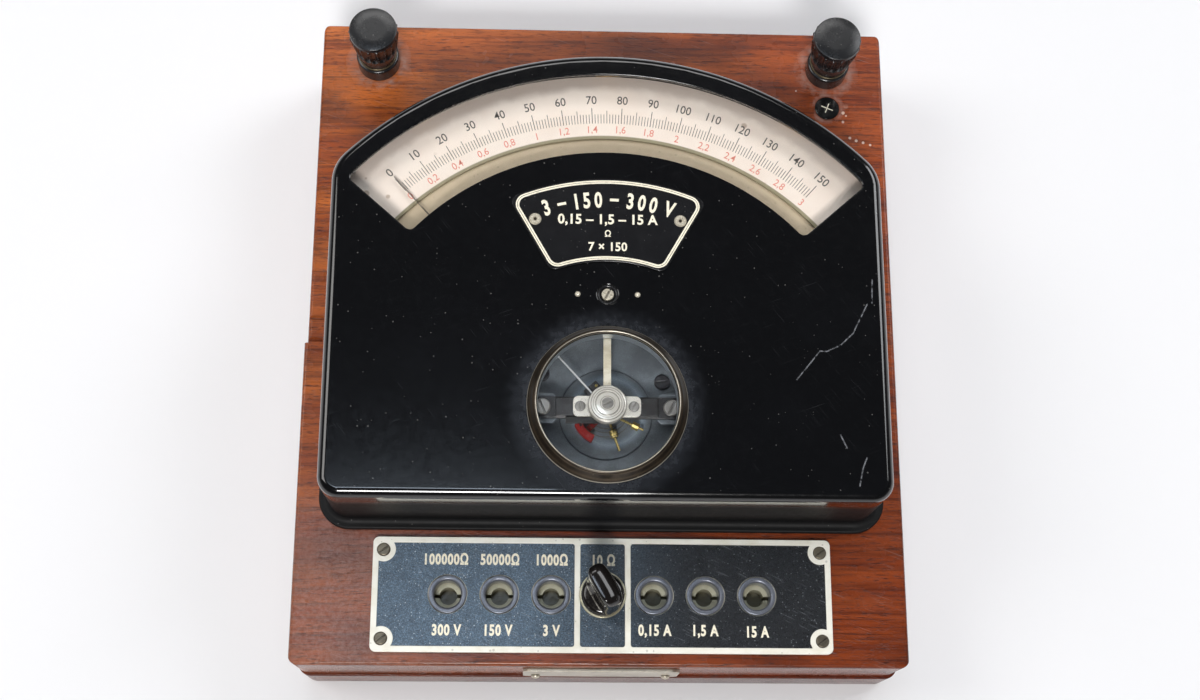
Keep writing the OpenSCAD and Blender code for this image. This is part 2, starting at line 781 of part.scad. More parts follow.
module name_plate() {
    color([0.08, 0.08, 0.09]) at_axis() translate([0, 0, cover_h]) linear_extrude(plate_t)
        difference() {
            polygon(sector_points(plate_r1, plate_r2, plate_half, plate_corner_r, plate_apex));
            for (x = [-1, 1])
                translate(at_bearing(x * eyelet_half, eyelet_at)) circle(r = eyelet_hole_r + fit_gap);
        }
}

module cover_rivets() {
    sheets = cover_t + plate_t;
    color("silver") at_axis() {
        for (x = [-1, 1]) {
            translate(concat(at_bearing(x * eyelet_half, eyelet_at), cover_in)) rotate_extrude()
                polygon([[eyelet_hole_r - 0.6, -0.6], [eyelet_hole_r + 0.4, -0.6], [eyelet_hole_r + 0.4, 0],
                    [eyelet_hole_r, 0], [eyelet_hole_r, sheets], [eyelet_hole_r + 0.95, sheets],
                    [eyelet_hole_r + 0.6, sheets + 0.5], [eyelet_hole_r - 0.3, sheets + 0.5],
                    [eyelet_hole_r - 0.6, sheets + 0.2]]);
            translate([x * adjust_rivet_x, adjust_at, cover_in]) {
                translate([0, 0, -rivet_r]) cylinder(r = rivet_r, h = cover_t + rivet_r + 0.1);
                translate([0, 0, cover_t]) intersection() {
                    translate([0, 0, -0.25]) sphere(r = rivet_head_r);
                    cylinder(r = rivet_head_r, h = rivet_head_r);
                }
            }
        }
    }
}

module adjuster_bush() {
    head_hole_r = adjust_r + run_gap;
    stem_hole_r = adjust_stem_r + run_gap;
    under = 0.6;
    color([0.1, 0.1, 0.1]) at_axis() translate([0, adjust_at, 0]) rotate_extrude()
        polygon([[stem_hole_r, cover_in - under], [bush_hole_r, cover_in - under],
            [bush_hole_r, cover_h - 0.25], [bush_hole_r - 0.5, cover_h - 0.25],
            [head_hole_r + 0.25, cover_h - 0.9], [head_hole_r, cover_h - 0.9],
            [head_hole_r, cover_in], [stem_hole_r, cover_in]]);
}

module zero_screw() {
    stem_l = 0.9;
    pin_dip = 0.2;
    color("silver") at_axis() translate([0, adjust_at, 0]) difference() {
        union() {
            translate([0, 0, cover_in + face_gap]) cylinder(r = adjust_r, h = cover_t - face_gap);
            translate([0, 0, cover_in - stem_l]) cylinder(r = adjust_stem_r, h = stem_l + face_gap);
            translate([0, -adjust_throw, lever_z - pin_dip])
                cylinder(r = adjust_pin_r, h = cover_in - stem_l - lever_z + pin_dip);
        }
        translate([0, 0, cover_h]) rotate([0, 0, 62]) cube([3 * adjust_r, 0.6, 1.4], center = true);
    }
}

module zero_lever() {
    stud_r = 0.4;
    stud = at_bearing(spring_end, spring_r + spring_wire_r + stud_r + 0.02);
    tab_out = 5;
    eye_w = 2.6;
    slot_w = 2 * (adjust_pin_r + run_gap);
    color("ghostwhite") at_axis() {
        translate([0, 0, lever_z]) linear_extrude(lever_t) difference() {
            union() {
                circle(r = hub_bush_r + eye_w);
                translate([-lever_w / 2, 0]) square([lever_w, adjust_at + 0.9]);
                translate([stud[0] - tab_out, stud[1] - 1]) square([3.4 - stud[0], 2]);
            }
            circle(r = hub_bush_r + run_gap);
            translate([-slot_w / 2, adjust_at - adjust_throw - 1]) square([slot_w, 4]);
            translate([stud_r, -2 * hub_r]) square([2 * hub_r, 1.6 * hub_r]);
        }
        translate(concat(stud, spring_h - 0.3)) cylinder(r = stud_r, h = lever_z + 0.1 - spring_h + 0.3);
    }
}

module upper_hairspring() {
    points = spiral_points(collet_r + 0.45, spring_r, spring_turns, spring_end);
    echo(upper_hairspring_least_gap = spiral_gap(points, spring_wire_r));
    color("goldenrod") at_axis() tube(points, spring_wire_r, spring_h);
}

// Scale

module scale_carrier() {
    color("darkgoldenrod") at_axis() translate([0, 0, carrier_z]) linear_extrude(carrier_t)
        difference() {
            intersection() {
                polygon(sector_points(mirror_r, scale_outer_r, paper_half, 1));
                inside_limit();
            }
            scale_pillar_places() circle(r = scale_pillar_r / 2 + fit_gap);
        }
}

module scale_pillar_places() {
    for (b = [-40, 0, 40])
        translate(at_bearing(b, scale_outer_r - scale_pillar_in)) children();
}

module scale_pillars() {
    color("goldenrod") at_axis() scale_pillar_places() {
        cylinder(r = scale_pillar_r, h = carrier_z);
        cylinder(r = scale_pillar_r / 2, h = carrier_z + carrier_t);
    }
}

module mirror_strip() {
    color("lightsteelblue") at_axis() translate([0, 0, mirror_z]) linear_extrude(mirror_t)
        intersection() {
            polygon(sector_points(mirror_r, scale_inner_r + mirror_lap, paper_half, 1));
            inside_limit();
        }
}

module scale_plate() {
    lower_r1 = scale_inner_r + mirror_lap + fit_gap;
    color("wheat") at_axis() {
        translate([0, 0, mirror_top]) linear_extrude(scale_t)
            intersection() {
                polygon(sector_points(scale_inner_r, scale_outer_r, paper_half, 0.6));
                inside_limit();
            }
        translate([0, 0, mirror_z]) linear_extrude(mirror_t)
            difference() {
                intersection() {
                    polygon(sector_points(lower_r1, scale_outer_r, paper_half, 0.6));
                    inside_limit();
                }
                scale_pillar_places() circle(r = scale_pillar_r / 2 + fit_gap);
            }
    }
}

// Fixed parts of the movement

module movement_base() {
    foot_l = 6;
    foot_in = 4;
    bracket_out = 3;
    color("darkgoldenrod") at_axis() {
        difference() {
            translate([-magnet_half_w, base_front, 0])
                cube([2 * magnet_half_w, base_back - base_front, base_plate_t]);
            translate([0, 0, -cut]) cylinder(r = lower_jewel_r + fit_gap, h = base_plate_t + 2 * cut);
        }
        for (x = [-1, 1], y = [magnet_front + foot_in, magnet_bend - foot_in / 2])
            translate([x * (magnet_half_w - magnet_leg / 2) - foot_in, y - foot_l / 2, base_plate_t])
                cube([2 * foot_in, foot_l, magnet_z - base_plate_t]);
        for (x = [-1, 1])
            translate([x * (core_r + air_gap + foot_l) - foot_in / 2, -5, base_plate_t])
                cube([foot_in, 10, shoe_z - base_plate_t]);
        for (y = [-1, 1])
            translate([-foot_l / 2, y * (core_r + air_gap + bracket_out) - foot_in / 2, base_plate_t])
                cube([foot_l, foot_in, core_arm_z - base_plate_t]);
    }
}

module magnet() {
    color([0.25, 0.05, 0.04]) at_axis() translate([0, 0, magnet_z]) difference() {
        union() {
            translate([0, magnet_bend, 0]) cylinder(r = magnet_half_w, h = magnet_h);
            translate([-magnet_half_w, magnet_front, 0])
                cube([2 * magnet_half_w, magnet_bend - magnet_front, magnet_h]);
        }
        translate([0, magnet_bend, -cut]) cylinder(r = magnet_in, h = magnet_h + 2 * cut);
        translate([-magnet_in, magnet_front - cut, -cut])
            cube([2 * magnet_in, magnet_bend - magnet_front + cut, magnet_h + 2 * cut]);
    }
}

module pole_shoes() {
    color("dimgray") at_axis() translate([0, 0, shoe_z]) for (m = [0, 1]) mirror([m, 0, 0]) difference() {
        translate([shoe_split, -shoe_half_l, 0]) cube([magnet_in - shoe_split, 2 * shoe_half_l, shoe_h]);
        translate([0, 0, -cut]) cylinder(r = core_r + air_gap, h = shoe_h + 2 * cut);
    }
}

module core() {
    arm_start = 2;
    arm_past = 6;
    color("gray") at_axis() {
        translate([0, 0, core_z]) ring(core_r, core_bore_r, core_top - core_z);
        for (m = [0, 1]) mirror([0, m, 0])
            translate([-core_arm_w / 2, core_r - arm_start, core_arm_z])
                cube([core_arm_w, air_gap + arm_past, core_arm_h]);
    }
}

module shield_plate() {
    line_w = 0.4;
    line_r = core_r + air_gap - line_w;
    color([0.5, 0.53, 0.56]) at_axis() translate([0, 0, shoe_top]) difference() {
        cylinder(r = shield_r, h = shield_t);
        translate([0, 0, -cut]) cylinder(r = core_bore_r, h = shield_t + 2 * cut);
        translate([0, 0, shield_t - line_w]) ring(line_r + line_w / 2, line_r - line_w / 2, cut);
        shield_screw_places() translate([0, 0, -cut])
            cylinder(r = shield_screw_r + fit_gap, h = shield_t + 2 * cut);
    }
}

module shield_screw_places() {
    for (p = shield_screw_spots)
        translate(p) children();
}

module shield_screws() {
    head_r = 2.6;
    color([0.05, 0.05, 0.05]) at_axis() translate([0, 0, shield_top]) shield_screw_places()
        slotted_screw(head_r, 1.1, shield_screw_r, shield_t, 0.8, 5);
}

module bridge_pillars() {
    lug_t = 1.6;
    lug_w = 10;
    color([0.45, 0.48, 0.5]) at_axis() for (x = [-1, 1]) translate([x * pillar_at, 0, shield_top]) {
        cylinder(r = pillar_r, h = bridge_z - shield_top);
        translate([0, 0, bridge_z - shield_top - lug_t]) linear_extrude(lug_t) intersection() {
            circle(r = pillar_lug_r);
            translate([-pillar_lug_r, -lug_w / 2]) square([2 * pillar_lug_r, lug_w]);
        }
    }
}

module bridge() {
    foot_x = pillar_at + 4.5;
    bar_x = pillar_at - 4.4;
    color([0.07, 0.06, 0.05]) at_axis() translate([0, 0, bridge_z]) difference() {
        union() {
            linear_extrude(bridge_t) square([2 * bar_x, 2 * bridge_half_w], center = true);
            linear_extrude(bridge_foot_t) square([2 * foot_x, 2 * bridge_half_w + 1], center = true);
        }
        translate([0, 0, -cut]) cylinder(r = hub_bush_r + fit_gap, h = bridge_t + 2 * cut);
        for (x = [-1, 1])
            translate([x * pillar_at, 0, -cut])
                cylinder(r = bridge_screw_r + fit_gap, h = bridge_t + 2 * cut);
    }
}

module clamp_plate() {
    color("gainsboro") at_axis() translate([0, 0, bridge_z + bridge_t]) linear_extrude(clamp_t) difference() {
        round_rect(clamp_w, 2 * bridge_half_w + 0.8, 1.8);
        circle(r = hub_bush_r + fit_gap);
        for (x = [-1, 1])
            translate([x * clamp_screw_at, 0]) circle(r = clamp_screw_r + fit_gap);
    }
}

module movement_screws() {
    color("silver") at_axis() {
        for (x = [-1, 1]) {
            translate([x * pillar_at, 0, bridge_z + bridge_foot_t])
                slotted_screw(2.75, 1.3, bridge_screw_r, bridge_foot_t, 0.7, 65 * x);
            translate([x * clamp_screw_at, 0, clamp_top])
                slotted_screw(1.7, 0.5, clamp_screw_r, clamp_t, 0.45, 75 - 20 * x);
        }
        translate([0, 0, hub_z + hub_h])
            slotted_screw(1.85, 0.35, jewel_screw_r, jewel_screw_l, 0.45, 20);
    }
}

module jewel_hub() {
    color("gainsboro") at_axis() difference() {
        union() {
            translate([0, 0, bridge_z - 0.1]) cylinder(r = hub_bush_r, h = hub_z - bridge_z + 0.1);
            translate([0, 0, hub_z]) rotate_extrude() polygon([[0, 0], [hub_r - 0.1, 0], [hub_r, 0.3],
                [hub_r, 1], [hub_r - 0.35, 1.3], [hub_r - 0.35, 1.7], [hub_r, 2], [hub_r, 2.5],
                [hub_r - 0.45, 2.9], [hub_r - 0.8, 2.9], [hub_r - 0.95, 3.2], [hub_r - 2.1, 3.25],
                [hub_r - 2.2, 3.05], [hub_r - 2.35, 3.3], [2.2, hub_h], [0, hub_h]]);
        }
        translate([0, 0, bridge_z - cut]) cylinder(r = pivot_r + run_gap, h = cut + 4.2);
        translate([0, 0, bridge_z - cut]) cylinder(r = spindle_r + 0.3, h = cut + 2);
        translate([0, 0, hub_z + hub_h - jewel_screw_l]) cylinder(r = jewel_screw_r + fit_gap, h = cut);
    }
}

module lower_jewel() {
    proud = 1;
    pit = 1.2;
    color("firebrick") at_axis() difference() {
        cylinder(r = lower_jewel_r, h = base_plate_t + proud);
        translate([0, 0, base_plate_t + proud - pit]) cylinder(r = pivot_r + run_gap, h = pit + cut);
    }
}

module lower_hairspring() {
    points = spiral_points(collet_r + 0.45, spring_r - 1, spring_turns, 90);
    echo(lower_hairspring_least_gap = spiral_gap(points, spring_wire_r));
    color("goldenrod") at_axis() {
        tube(points, spring_wire_r, lower_spring_h);
        translate([spring_r - 1, 0, base_plate_t]) cylinder(r = 0.5, h = lower_spring_h + 0.3 - base_plate_t);
    }
}

// Moving parts of the movement

module spindle() {
    color("silver") at_axis() {
        translate([0, 0, base_plate_t - 0.1]) cylinder(r = pivot_r, h = coil_z - base_plate_t + 0.1);
        translate([0, 0, lower_spring_h - 0.8]) cylinder(r = collet_r, h = coil_z + 0.8 - lower_spring_h);
        translate([0, 0, coil_top]) cylinder(r = spindle_r, h = bridge_z + 1.2 - coil_top);
        translate([0, 0, coil_top]) cylinder(r = pivot_r, h = bridge_z + 3 - coil_top);
        translate([0, 0, spring_h - 0.6]) cylinder(r = collet_r, h = 1.2);
    }
}

module coil() {
    color([0.55, 0.1, 0.06]) at_axis() rotate([0, 0, -rest_bearing]) difference() {
        translate([-coil_half_w, -coil_side_w / 2, coil_z])
            cube([2 * coil_half_w, coil_side_w, coil_top - coil_z]);
        translate([-coil_half_w + coil_wall, -coil_side_w, coil_z + coil_wall])
            cube([2 * (coil_half_w - coil_wall), 2 * coil_side_w, coil_top - coil_z - 2 * coil_wall]);
    }
}

module pointer() {
    knife_l = 6;
    knife_drop = 0.9;
    color("whitesmoke") at_axis() rotate([0, 0, -rest_bearing]) {
        translate([0, pointer_root, pointer_h]) rotate([-90, 0, 0])
            cylinder(r = pointer_tube_r, h = scale_inner_r - knife_l + 1 - pointer_root);
        translate([-0.1, scale_inner_r - knife_l, pointer_h - knife_drop])
            cube([0.2, pointer_len - scale_inner_r + knife_l, knife_drop + 0.4]);
    }
}

module pointer_foot() {
    root_r = 9.4;
    color([0.06, 0.06, 0.06]) at_axis() rotate([0, 0, -rest_bearing])
        translate([0, 0, pointer_h - foot_drop]) linear_extrude(foot_drop + 0.8) difference() {
            polygon([[-1.6, -2.4], [1.6, -2.4], [3.6, 7], [3.6, root_r], [-1.6, root_r]]);
            circle(r = spindle_r + fit_gap);
            translate([-pointer_tube_r - fit_gap, pointer_root - fit_gap])
                square([2 * (pointer_tube_r + fit_gap), root_r]);
            translate(at_bearing(pin_bearing, pin_at)) circle(r = pin_r + fit_gap);
        }
}

module balance_weights() {
    nuts = [[-1, 7.4], [1, 10.4]];
    nut_r = 1.3;
    nut_l = 2.4;
    pin_clear = 0.3;
    color("goldenrod") at_axis() rotate([0, 0, -tail_bearing]) {
        for (n = nuts)
            rotate([0, 0, n[0] * arm_half]) translate([0, 0, arm_h]) rotate([-90, 0, 0]) {
                translate([0, 0, 1]) cylinder(r = 0.4, h = 12.4);
                translate([0, 0, n[1] - 1.1]) cylinder(r = nut_r, h = nut_l, $fn = 8);
            }
        translate([0, 0, arm_h - spindle_r]) ring(2 * spindle_r, spindle_r + fit_gap, 2 * spindle_r);
    }
    color("goldenrod") at_axis() rotate([0, 0, -rest_bearing])
        translate(concat(at_bearing(pin_bearing, pin_at), pointer_h - foot_drop))
            cylinder(r = pin_r, h = bridge_z - pin_clear - pointer_h + foot_drop);
}

module lead_carrier() {
    block_in = 8.4;
    block_out = 11.2;
    block_h = 2.8;
    color([0.7, 0.1, 0.08]) at_axis() rotate([0, 0, -rest_bearing]) translate([0, 0, arm_h - 1.6]) {
        linear_extrude(block_h) polygon(concat(arc_points([0, 0], block_out, 247, 290, 10),
            arc_points([0, 0], block_in, 290, 247, 10)));
        difference() {
            linear_extrude(0.7) union() {
                circle(r = 2.4);
                polygon([at_bearing(250, 2), at_bearing(262, 9), at_bearing(276, 9), at_bearing(288, 2)]);
            }
            translate([0, 0, -cut]) cylinder(r = spindle_r + fit_gap, h = 3);
        }
    }
}

// Range panel, sockets and plug

module at_socket(i) {
    translate([i * socket_pitch, panel_cy, top_z]) children();
}

module panel_screw_places() {
    for (x = [-1, 1], y = [-1, 1])
        translate([x * panel_screw_x / 2, panel_cy + y * panel_screw_y / 2, top_z]) children();
}

module field_plan(gap = 0) {
    side_w = (panel_w - mid_field_w) / 2 - field_bar - panel_border;
    field_d = panel_d - 2 * panel_border - gap;
    difference() {
        union() {
            translate([0, panel_cy]) round_rect(mid_field_w - gap, field_d, field_corner_r);
            for (x = [-1, 1])
                translate([x * (mid_field_w / 2 + field_bar + side_w / 2), panel_cy])
                    round_rect(side_w - gap, field_d, field_corner_r);
        }
        for (x = [-1, 1], y = [-1, 1])
            translate([x * panel_screw_x / 2, panel_cy + y * panel_screw_y / 2])
                circle(r = panel_head_r + field_notch + gap / 2);
    }
}

module panel_plate() {
    color("silver") difference() {
        translate([0, panel_cy, top_z]) linear_extrude(panel_t) round_rect(panel_w, panel_d, 2);
        translate([0, 0, top_z + panel_t - enamel_t]) linear_extrude(enamel_t + cut) field_plan();
        for (i = [-socket_half:socket_half])
            at_socket(i) translate([0, 0, -cut]) cylinder(r = bush_r + fit_gap, h = panel_t + 2 * cut);
        panel_screw_places() {
            translate([0, 0, -cut]) cylinder(r = panel_head_r / 2 + fit_gap, h = panel_t + 2 * cut);
            translate([0, 0, panel_t - panel_head_sink])
                cylinder(r = panel_head_r + fit_gap, h = panel_head_sink + cut);
        }
    }
}

module panel_enamel() {
    color([0.05, 0.05, 0.06]) difference() {
        translate([0, 0, top_z + panel_t - enamel_t]) linear_extrude(enamel_t) field_plan(0.04);
        for (i = [-socket_half:socket_half])
            at_socket(i) translate([0, 0, -cut]) cylinder(r = bush_r + enamel_gap, h = panel_t + 2 * cut);
    }
}

module panel_screws() {
    color("silver") panel_screw_places() translate([0, 0, panel_t - panel_head_sink])
        slotted_screw(panel_head_r, 1, panel_head_r / 2, panel_t + panel_screw_l, 0.55, 35);
}

module socket_bushes() {
    color("darkgray") for (i = [-socket_half:socket_half])
        at_socket(i) rotate_extrude() polygon([[bush_bore_r, contact_top], [bush_r, contact_top],
            [bush_r, socket_top - 0.3], [bush_r - 0.3, socket_top], [bush_bore_r + 0.4, socket_top],
            [bush_bore_r, socket_top - 0.5]]);
}

module contact_blocks() {
    color("peru") for (i = [-socket_half:socket_half])
        at_socket(i) difference() {
            translate([-contact_half_x, -contact_half_y, -trough_depth])
                cube([2 * contact_half_x, contact_half_y - contact_slot / 2, contact_h]);
            translate([0, 0, -trough_depth - cut]) cylinder(r = contact_bore_r, h = contact_h + 2 * cut);
        }
}

module contact_bar() {
    half = socket_half * socket_pitch + contact_half_x;
    color("peru") difference() {
        translate([-half, panel_cy + contact_slot / 2, top_z - trough_depth])
            cube([2 * half, contact_half_y - contact_slot / 2, contact_h]);
        for (i = [-socket_half:socket_half])
            at_socket(i) translate([0, 0, -trough_depth - cut])
                cylinder(r = contact_bore_r, h = contact_h + 2 * cut);
    }
}

module plug_pin() {
    tip = contact_top - contact_h + 0.4;
    color("goldenrod") at_socket(0) rotate_extrude() polygon([[0, tip], [plug_pin_r - 0.6, tip],
        [plug_pin_r, tip + 0.6], [plug_pin_r, plug_z], [collar_r, plug_z], [collar_r, plug_z + collar_t],
        [tang_r, plug_z + collar_t], [tang_r, plug_z + collar_t + tang_h], [0, plug_z + collar_t + tang_h]]);
}

module plug_grip() {
    fin_l = 2 * grip_r + 0.4;
    color([0.07, 0.06, 0.06]) at_socket(0) translate([0, 0, plug_z + collar_t]) difference() {
        union() {
            rotate_extrude() polygon([[0, 0], [grip_r - 0.2, 0], [grip_r, 0.2], [grip_r, grip_foot_h - 1.3],
                [grip_r - 0.4, grip_foot_h - 0.5], [grip_r - 1.3, grip_foot_h], [0, grip_foot_h]]);
            rotate([0, 0, fin_turn]) translate([0, 0, grip_foot_h - 1]) intersection() {
                linear_extrude(fin_h + 1) round_rect(fin_t, fin_l, fin_t / 2 - 0.2);
                rotate([90, 0, 0]) linear_extrude(fin_l + cut, center = true)
                    round_top(fin_t, fin_h + 1, fin_t / 3);
                rotate([90, 0, 90]) linear_extrude(fin_t + cut, center = true)
                    round_top(fin_l, fin_h + 1, fin_t / 2);
            }
        }
        translate([0, 0, -cut]) cylinder(r = tang_r + fit_gap, h = tang_h + fit_gap + cut);
    }
}

// Binding posts

module post_places() {
    for (x = [-1, 1])
        translate([x * post_x, post_y, top_z]) children();
}

module post_studs() {
    under = top_t + strap_t + nut_h;
    color("goldenrod") post_places() {
        translate([0, 0, -under - 1]) cylinder(r = stud_r, h = under + 1 + stud_top);
        translate([0, 0, -under]) difference() {
            cylinder(r = 1.9 * stud_r, h = nut_h, $fn = 6);
            translate([0, 0, -cut]) cylinder(r = stud_r + fit_gap, h = nut_h + 2 * cut);
        }
    }
}

module post_bases() {
    color([0.08, 0.07, 0.07]) post_places() rotate_extrude() polygon([[stud_r + fit_gap, 0], [post_base_r, 0],
        [post_base_r, post_base_h - 0.5], [post_base_r - 0.5, post_base_h], [stud_r + fit_gap, post_base_h]]);
}

module post_washer(side) {
    color("goldenrod") translate([side * post_x, post_y, top_z + washer_z])
        ring(post_base_r - 0.8, stud_r + run_gap, washer_t);
}

module post_knob(side) {
    foot_r = knob_r - knob_taper;
    neck = 2.4;
    shoulder = knob_h - 2;
    slope = atan(knob_taper / (shoulder - neck));
    color([0.08, 0.07, 0.07]) translate([side * post_x, post_y, top_z + knob_z]) difference() {
        rotate_extrude() polygon([[0, 0], [foot_r - 0.2, 0], [foot_r + 0.2, 0.4], [foot_r + 0.2, 1.1],
            [foot_r - 0.3, 1.5], [foot_r - 0.3, neck - 0.3], [foot_r, neck], [knob_r, shoulder],
            [knob_r - 0.7, knob_h - 0.4], [knob_r - 1, knob_h], [0, knob_h]]);
        for (i = [0:flutes - 1])
            rotate([0, 0, i * 360 / flutes]) translate([foot_r + flute_r - flute_depth, 0, neck + flute_r])
                rotate([0, slope, 0]) {
                    cylinder(r = flute_r, h = knob_h - neck);
                    sphere(r = flute_r);
                }
        translate([0, 0, -cut]) cylinder(r = stud_r + run_gap, h = knob_h - 4 + cut);
    }
}

module left_washer() {
    post_washer(-1);
}

module left_knob() {
    post_knob(-1);
}

module right_washer() {
    post_washer(1);
}

module right_knob() {
    post_knob(1);
}

module polarity_disc() {
    color([0.08, 0.08, 0.08]) translate([post_x, polarity_y, top_z - polarity_sink])
        cylinder(r = polarity_r, h = polarity_sink + polarity_proud);
}

// Electrical parts under the top board

module resistor_bobbins() {
    top = bobbin_h - bobbin_flange;
    color("darkolivegreen") for (x = [-1, 0, 1], y = bobbin_rows)
        translate([x * bobbin_x, y, board_z]) rotate([180, 0, 0]) difference() {
            rotate_extrude() polygon([[0, 0], [bobbin_r, 0], [bobbin_r, bobbin_flange],
                [bobbin_core_r, bobbin_flange], [bobbin_core_r, top], [bobbin_r, top], [bobbin_r, bobbin_h],
                [0, bobbin_h]]);
            translate([0, 0, -cut]) cylinder(r = bobbin_hole_r, h = bobbin_h + 2 * cut);
        }
}

module connection_straps() {
    lane_x = post_x - strap_lane;
    cross_l = strap_lane + strap_w;
    front = panel_cy + contact_half_y + strap_gap;
    color("peru") for (x = [-1, 1]) {
        difference() {
            translate([x * (post_x + lane_x) / 2 - cross_l / 2, post_y - strap_w / 2, board_z - strap_t])
                cube([cross_l, strap_w, strap_t]);
            translate([x * post_x, post_y, board_z - strap_t - cut])
                cylinder(r = stud_r + fit_gap, h = strap_t + 2 * cut);
        }
        translate([x * lane_x - strap_w / 2, front, board_z - strap_t])
            cube([strap_w, post_y - front, strap_t]);
    }
}

case_top();
case_sides();
plinth();
bottom_board();
bottom_screws();
keeper_plate();
keeper_screws();
cover();
cover_screws();
arc_glass();
glass_clips();
bezel();
round_glass();
bezel_ring();
name_plate();
cover_rivets();
adjuster_bush();
scale_carrier();
scale_plate();
mirror_strip();
scale_pillars();
movement_base();
magnet();
pole_shoes();
core();
shield_plate();
shield_screws();
bridge_pillars();
bridge();
movement_screws();
clamp_plate();
jewel_hub();
lower_jewel();
lower_hairspring();
panel_plate();
panel_enamel();
panel_screws();
socket_bushes();
contact_blocks();
contact_bar();
post_studs();
post_bases();
polarity_disc();
resistor_bobbins();
connection_straps();
zero_screw();
zero_lever();
upper_hairspring();
pointer();
pointer_foot();
spindle();
coil();
balance_weights();
lead_carrier();
plug_pin();
plug_grip();
left_washer();
left_knob();
right_washer();
right_knob();
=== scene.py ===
import json
import math

import bmesh
import bpy
from mathutils import Matrix, Vector

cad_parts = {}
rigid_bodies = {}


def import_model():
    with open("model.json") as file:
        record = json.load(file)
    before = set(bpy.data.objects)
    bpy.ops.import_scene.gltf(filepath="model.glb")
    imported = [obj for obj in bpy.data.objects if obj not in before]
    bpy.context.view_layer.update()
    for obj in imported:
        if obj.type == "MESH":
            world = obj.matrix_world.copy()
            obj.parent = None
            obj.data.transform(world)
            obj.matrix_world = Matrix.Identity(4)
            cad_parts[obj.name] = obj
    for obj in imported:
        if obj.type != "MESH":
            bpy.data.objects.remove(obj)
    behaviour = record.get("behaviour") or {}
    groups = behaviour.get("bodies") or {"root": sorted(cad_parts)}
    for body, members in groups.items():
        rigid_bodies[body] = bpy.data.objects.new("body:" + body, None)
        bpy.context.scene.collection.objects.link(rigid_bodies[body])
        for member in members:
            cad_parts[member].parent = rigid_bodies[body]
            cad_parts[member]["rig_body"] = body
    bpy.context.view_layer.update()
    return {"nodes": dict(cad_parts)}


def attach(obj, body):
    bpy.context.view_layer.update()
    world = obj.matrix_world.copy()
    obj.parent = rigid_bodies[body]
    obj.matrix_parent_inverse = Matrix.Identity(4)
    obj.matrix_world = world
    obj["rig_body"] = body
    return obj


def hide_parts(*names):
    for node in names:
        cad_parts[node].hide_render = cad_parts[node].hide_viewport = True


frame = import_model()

# Portable laboratory voltammeter: looks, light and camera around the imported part.
# Lengths in the dictionaries are millimetres, bearings are degrees clockwise from the back.

mm = 0.001
mergeDistance = 2e-6   # metres within which points of one mesh count as one
flatWithin = 0.5       # degrees within which neighbouring faces are joined
nodes = frame["nodes"]
scene = bpy.context.scene
scene.view_settings.view_transform = "Standard"

places = {
    "axisY": -35.3,       # the pointer's pivot
    "boardTop": 46.0,
    "boardUnder": 34.0,   # underside of the top board
    "coverTop": 84.7,
    "paperTop": 75.6,
    "panelY": -90.8,
    "panelTop": 47.5,
    "postX": 80.9,
    "postY": 100.85,
    "markerY": 85.85,
}


# ---- mesh helpers

def linkedObject(name, data):
    obj = bpy.data.objects.new(name, data)
    scene.collection.objects.link(obj)
    return obj


def rawMesh(name, points, faces):
    mesh = bpy.data.meshes.new(name)
    mesh.from_pydata([(x * mm, y * mm, z * mm) for x, y, z in points], [], faces)
    mesh.update()
    return mesh


def smoothMesh(mesh, angle=32):
    for face in mesh.polygons:
        face.use_smooth = True
    mesh.set_sharp_from_angle(angle=math.radians(angle))


def cleanMesh(mesh):
    bm = bmesh.new()
    bm.from_mesh(mesh)
    bmesh.ops.remove_doubles(bm, verts=bm.verts, dist=mergeDistance)
    bmesh.ops.recalc_face_normals(bm, faces=bm.faces)
    bm.to_mesh(mesh)
    bm.free()


def takeMesh(obj):
    # the object's evaluated shape as a plain mesh; the object itself goes
    bpy.context.view_layer.update()
    mesh = bpy.data.meshes.new_from_object(obj.evaluated_get(bpy.context.evaluated_depsgraph_get()))
    bpy.data.objects.remove(obj)
    return mesh


def ringFaces(around, first, second):
    # quads between two rings of points that start at these indices
    return [(first + i, first + (i + 1) % around, second + (i + 1) % around, second + i) for i in range(around)]


def finishPiece(obj, body, material, replaced=()):
    obj.data.materials.clear()
    obj.data.materials.append(material)
    for face in obj.data.polygons:
        face.material_index = 0
    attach(obj, body)
    if replaced:
        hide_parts(*replaced)
    return obj


def softenEdges(obj, width, segments=2, angle=30):
    bevel = obj.modifiers.new("Edges", "BEVEL")
    bevel.width = width * mm
    bevel.segments = segments
    bevel.limit_method = "ANGLE"
    bevel.angle_limit = math.radians(angle)
    bevel.use_clamp_overlap = False
    bevel.harden_normals = False


def weightNormals(obj):
    weighted = obj.modifiers.new("Normals", "WEIGHTED_NORMAL")
    weighted.keep_sharp = True
    weighted.weight = 80


def dressNode(nodeName, material, edge=0.0, angle=30):
    # copy of a CAD node with merged points, flat faces joined and its edges softened
    source = nodes[nodeName]
    mesh = bpy.data.meshes.new(nodeName + "Look")
    mesh.from_pydata([v.co[:] for v in source.data.vertices], [], [f.vertices[:] for f in source.data.polygons])
    bm = bmesh.new()
    bm.from_mesh(mesh)
    bmesh.ops.remove_doubles(bm, verts=bm.verts, dist=mergeDistance)
    bmesh.ops.dissolve_limit(bm, angle_limit=math.radians(flatWithin), verts=bm.verts, edges=bm.edges)
    bm.to_mesh(mesh)
    bm.free()
    smoothMesh(mesh, angle)
    obj = linkedObject(mesh.name, mesh)
    if edge:
        softenEdges(obj, edge, angle=angle)
    weightNormals(obj)
    return finishPiece(obj, source["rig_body"], material, [nodeName])


def paintNode(nodeName, material):
    mesh = nodes[nodeName].data
    mesh.materials.clear()
    mesh.materials.append(material)


def atBearing(bearing, radius):
    turn = math.radians(bearing)
    return radius * math.sin(turn), radius * math.cos(turn)


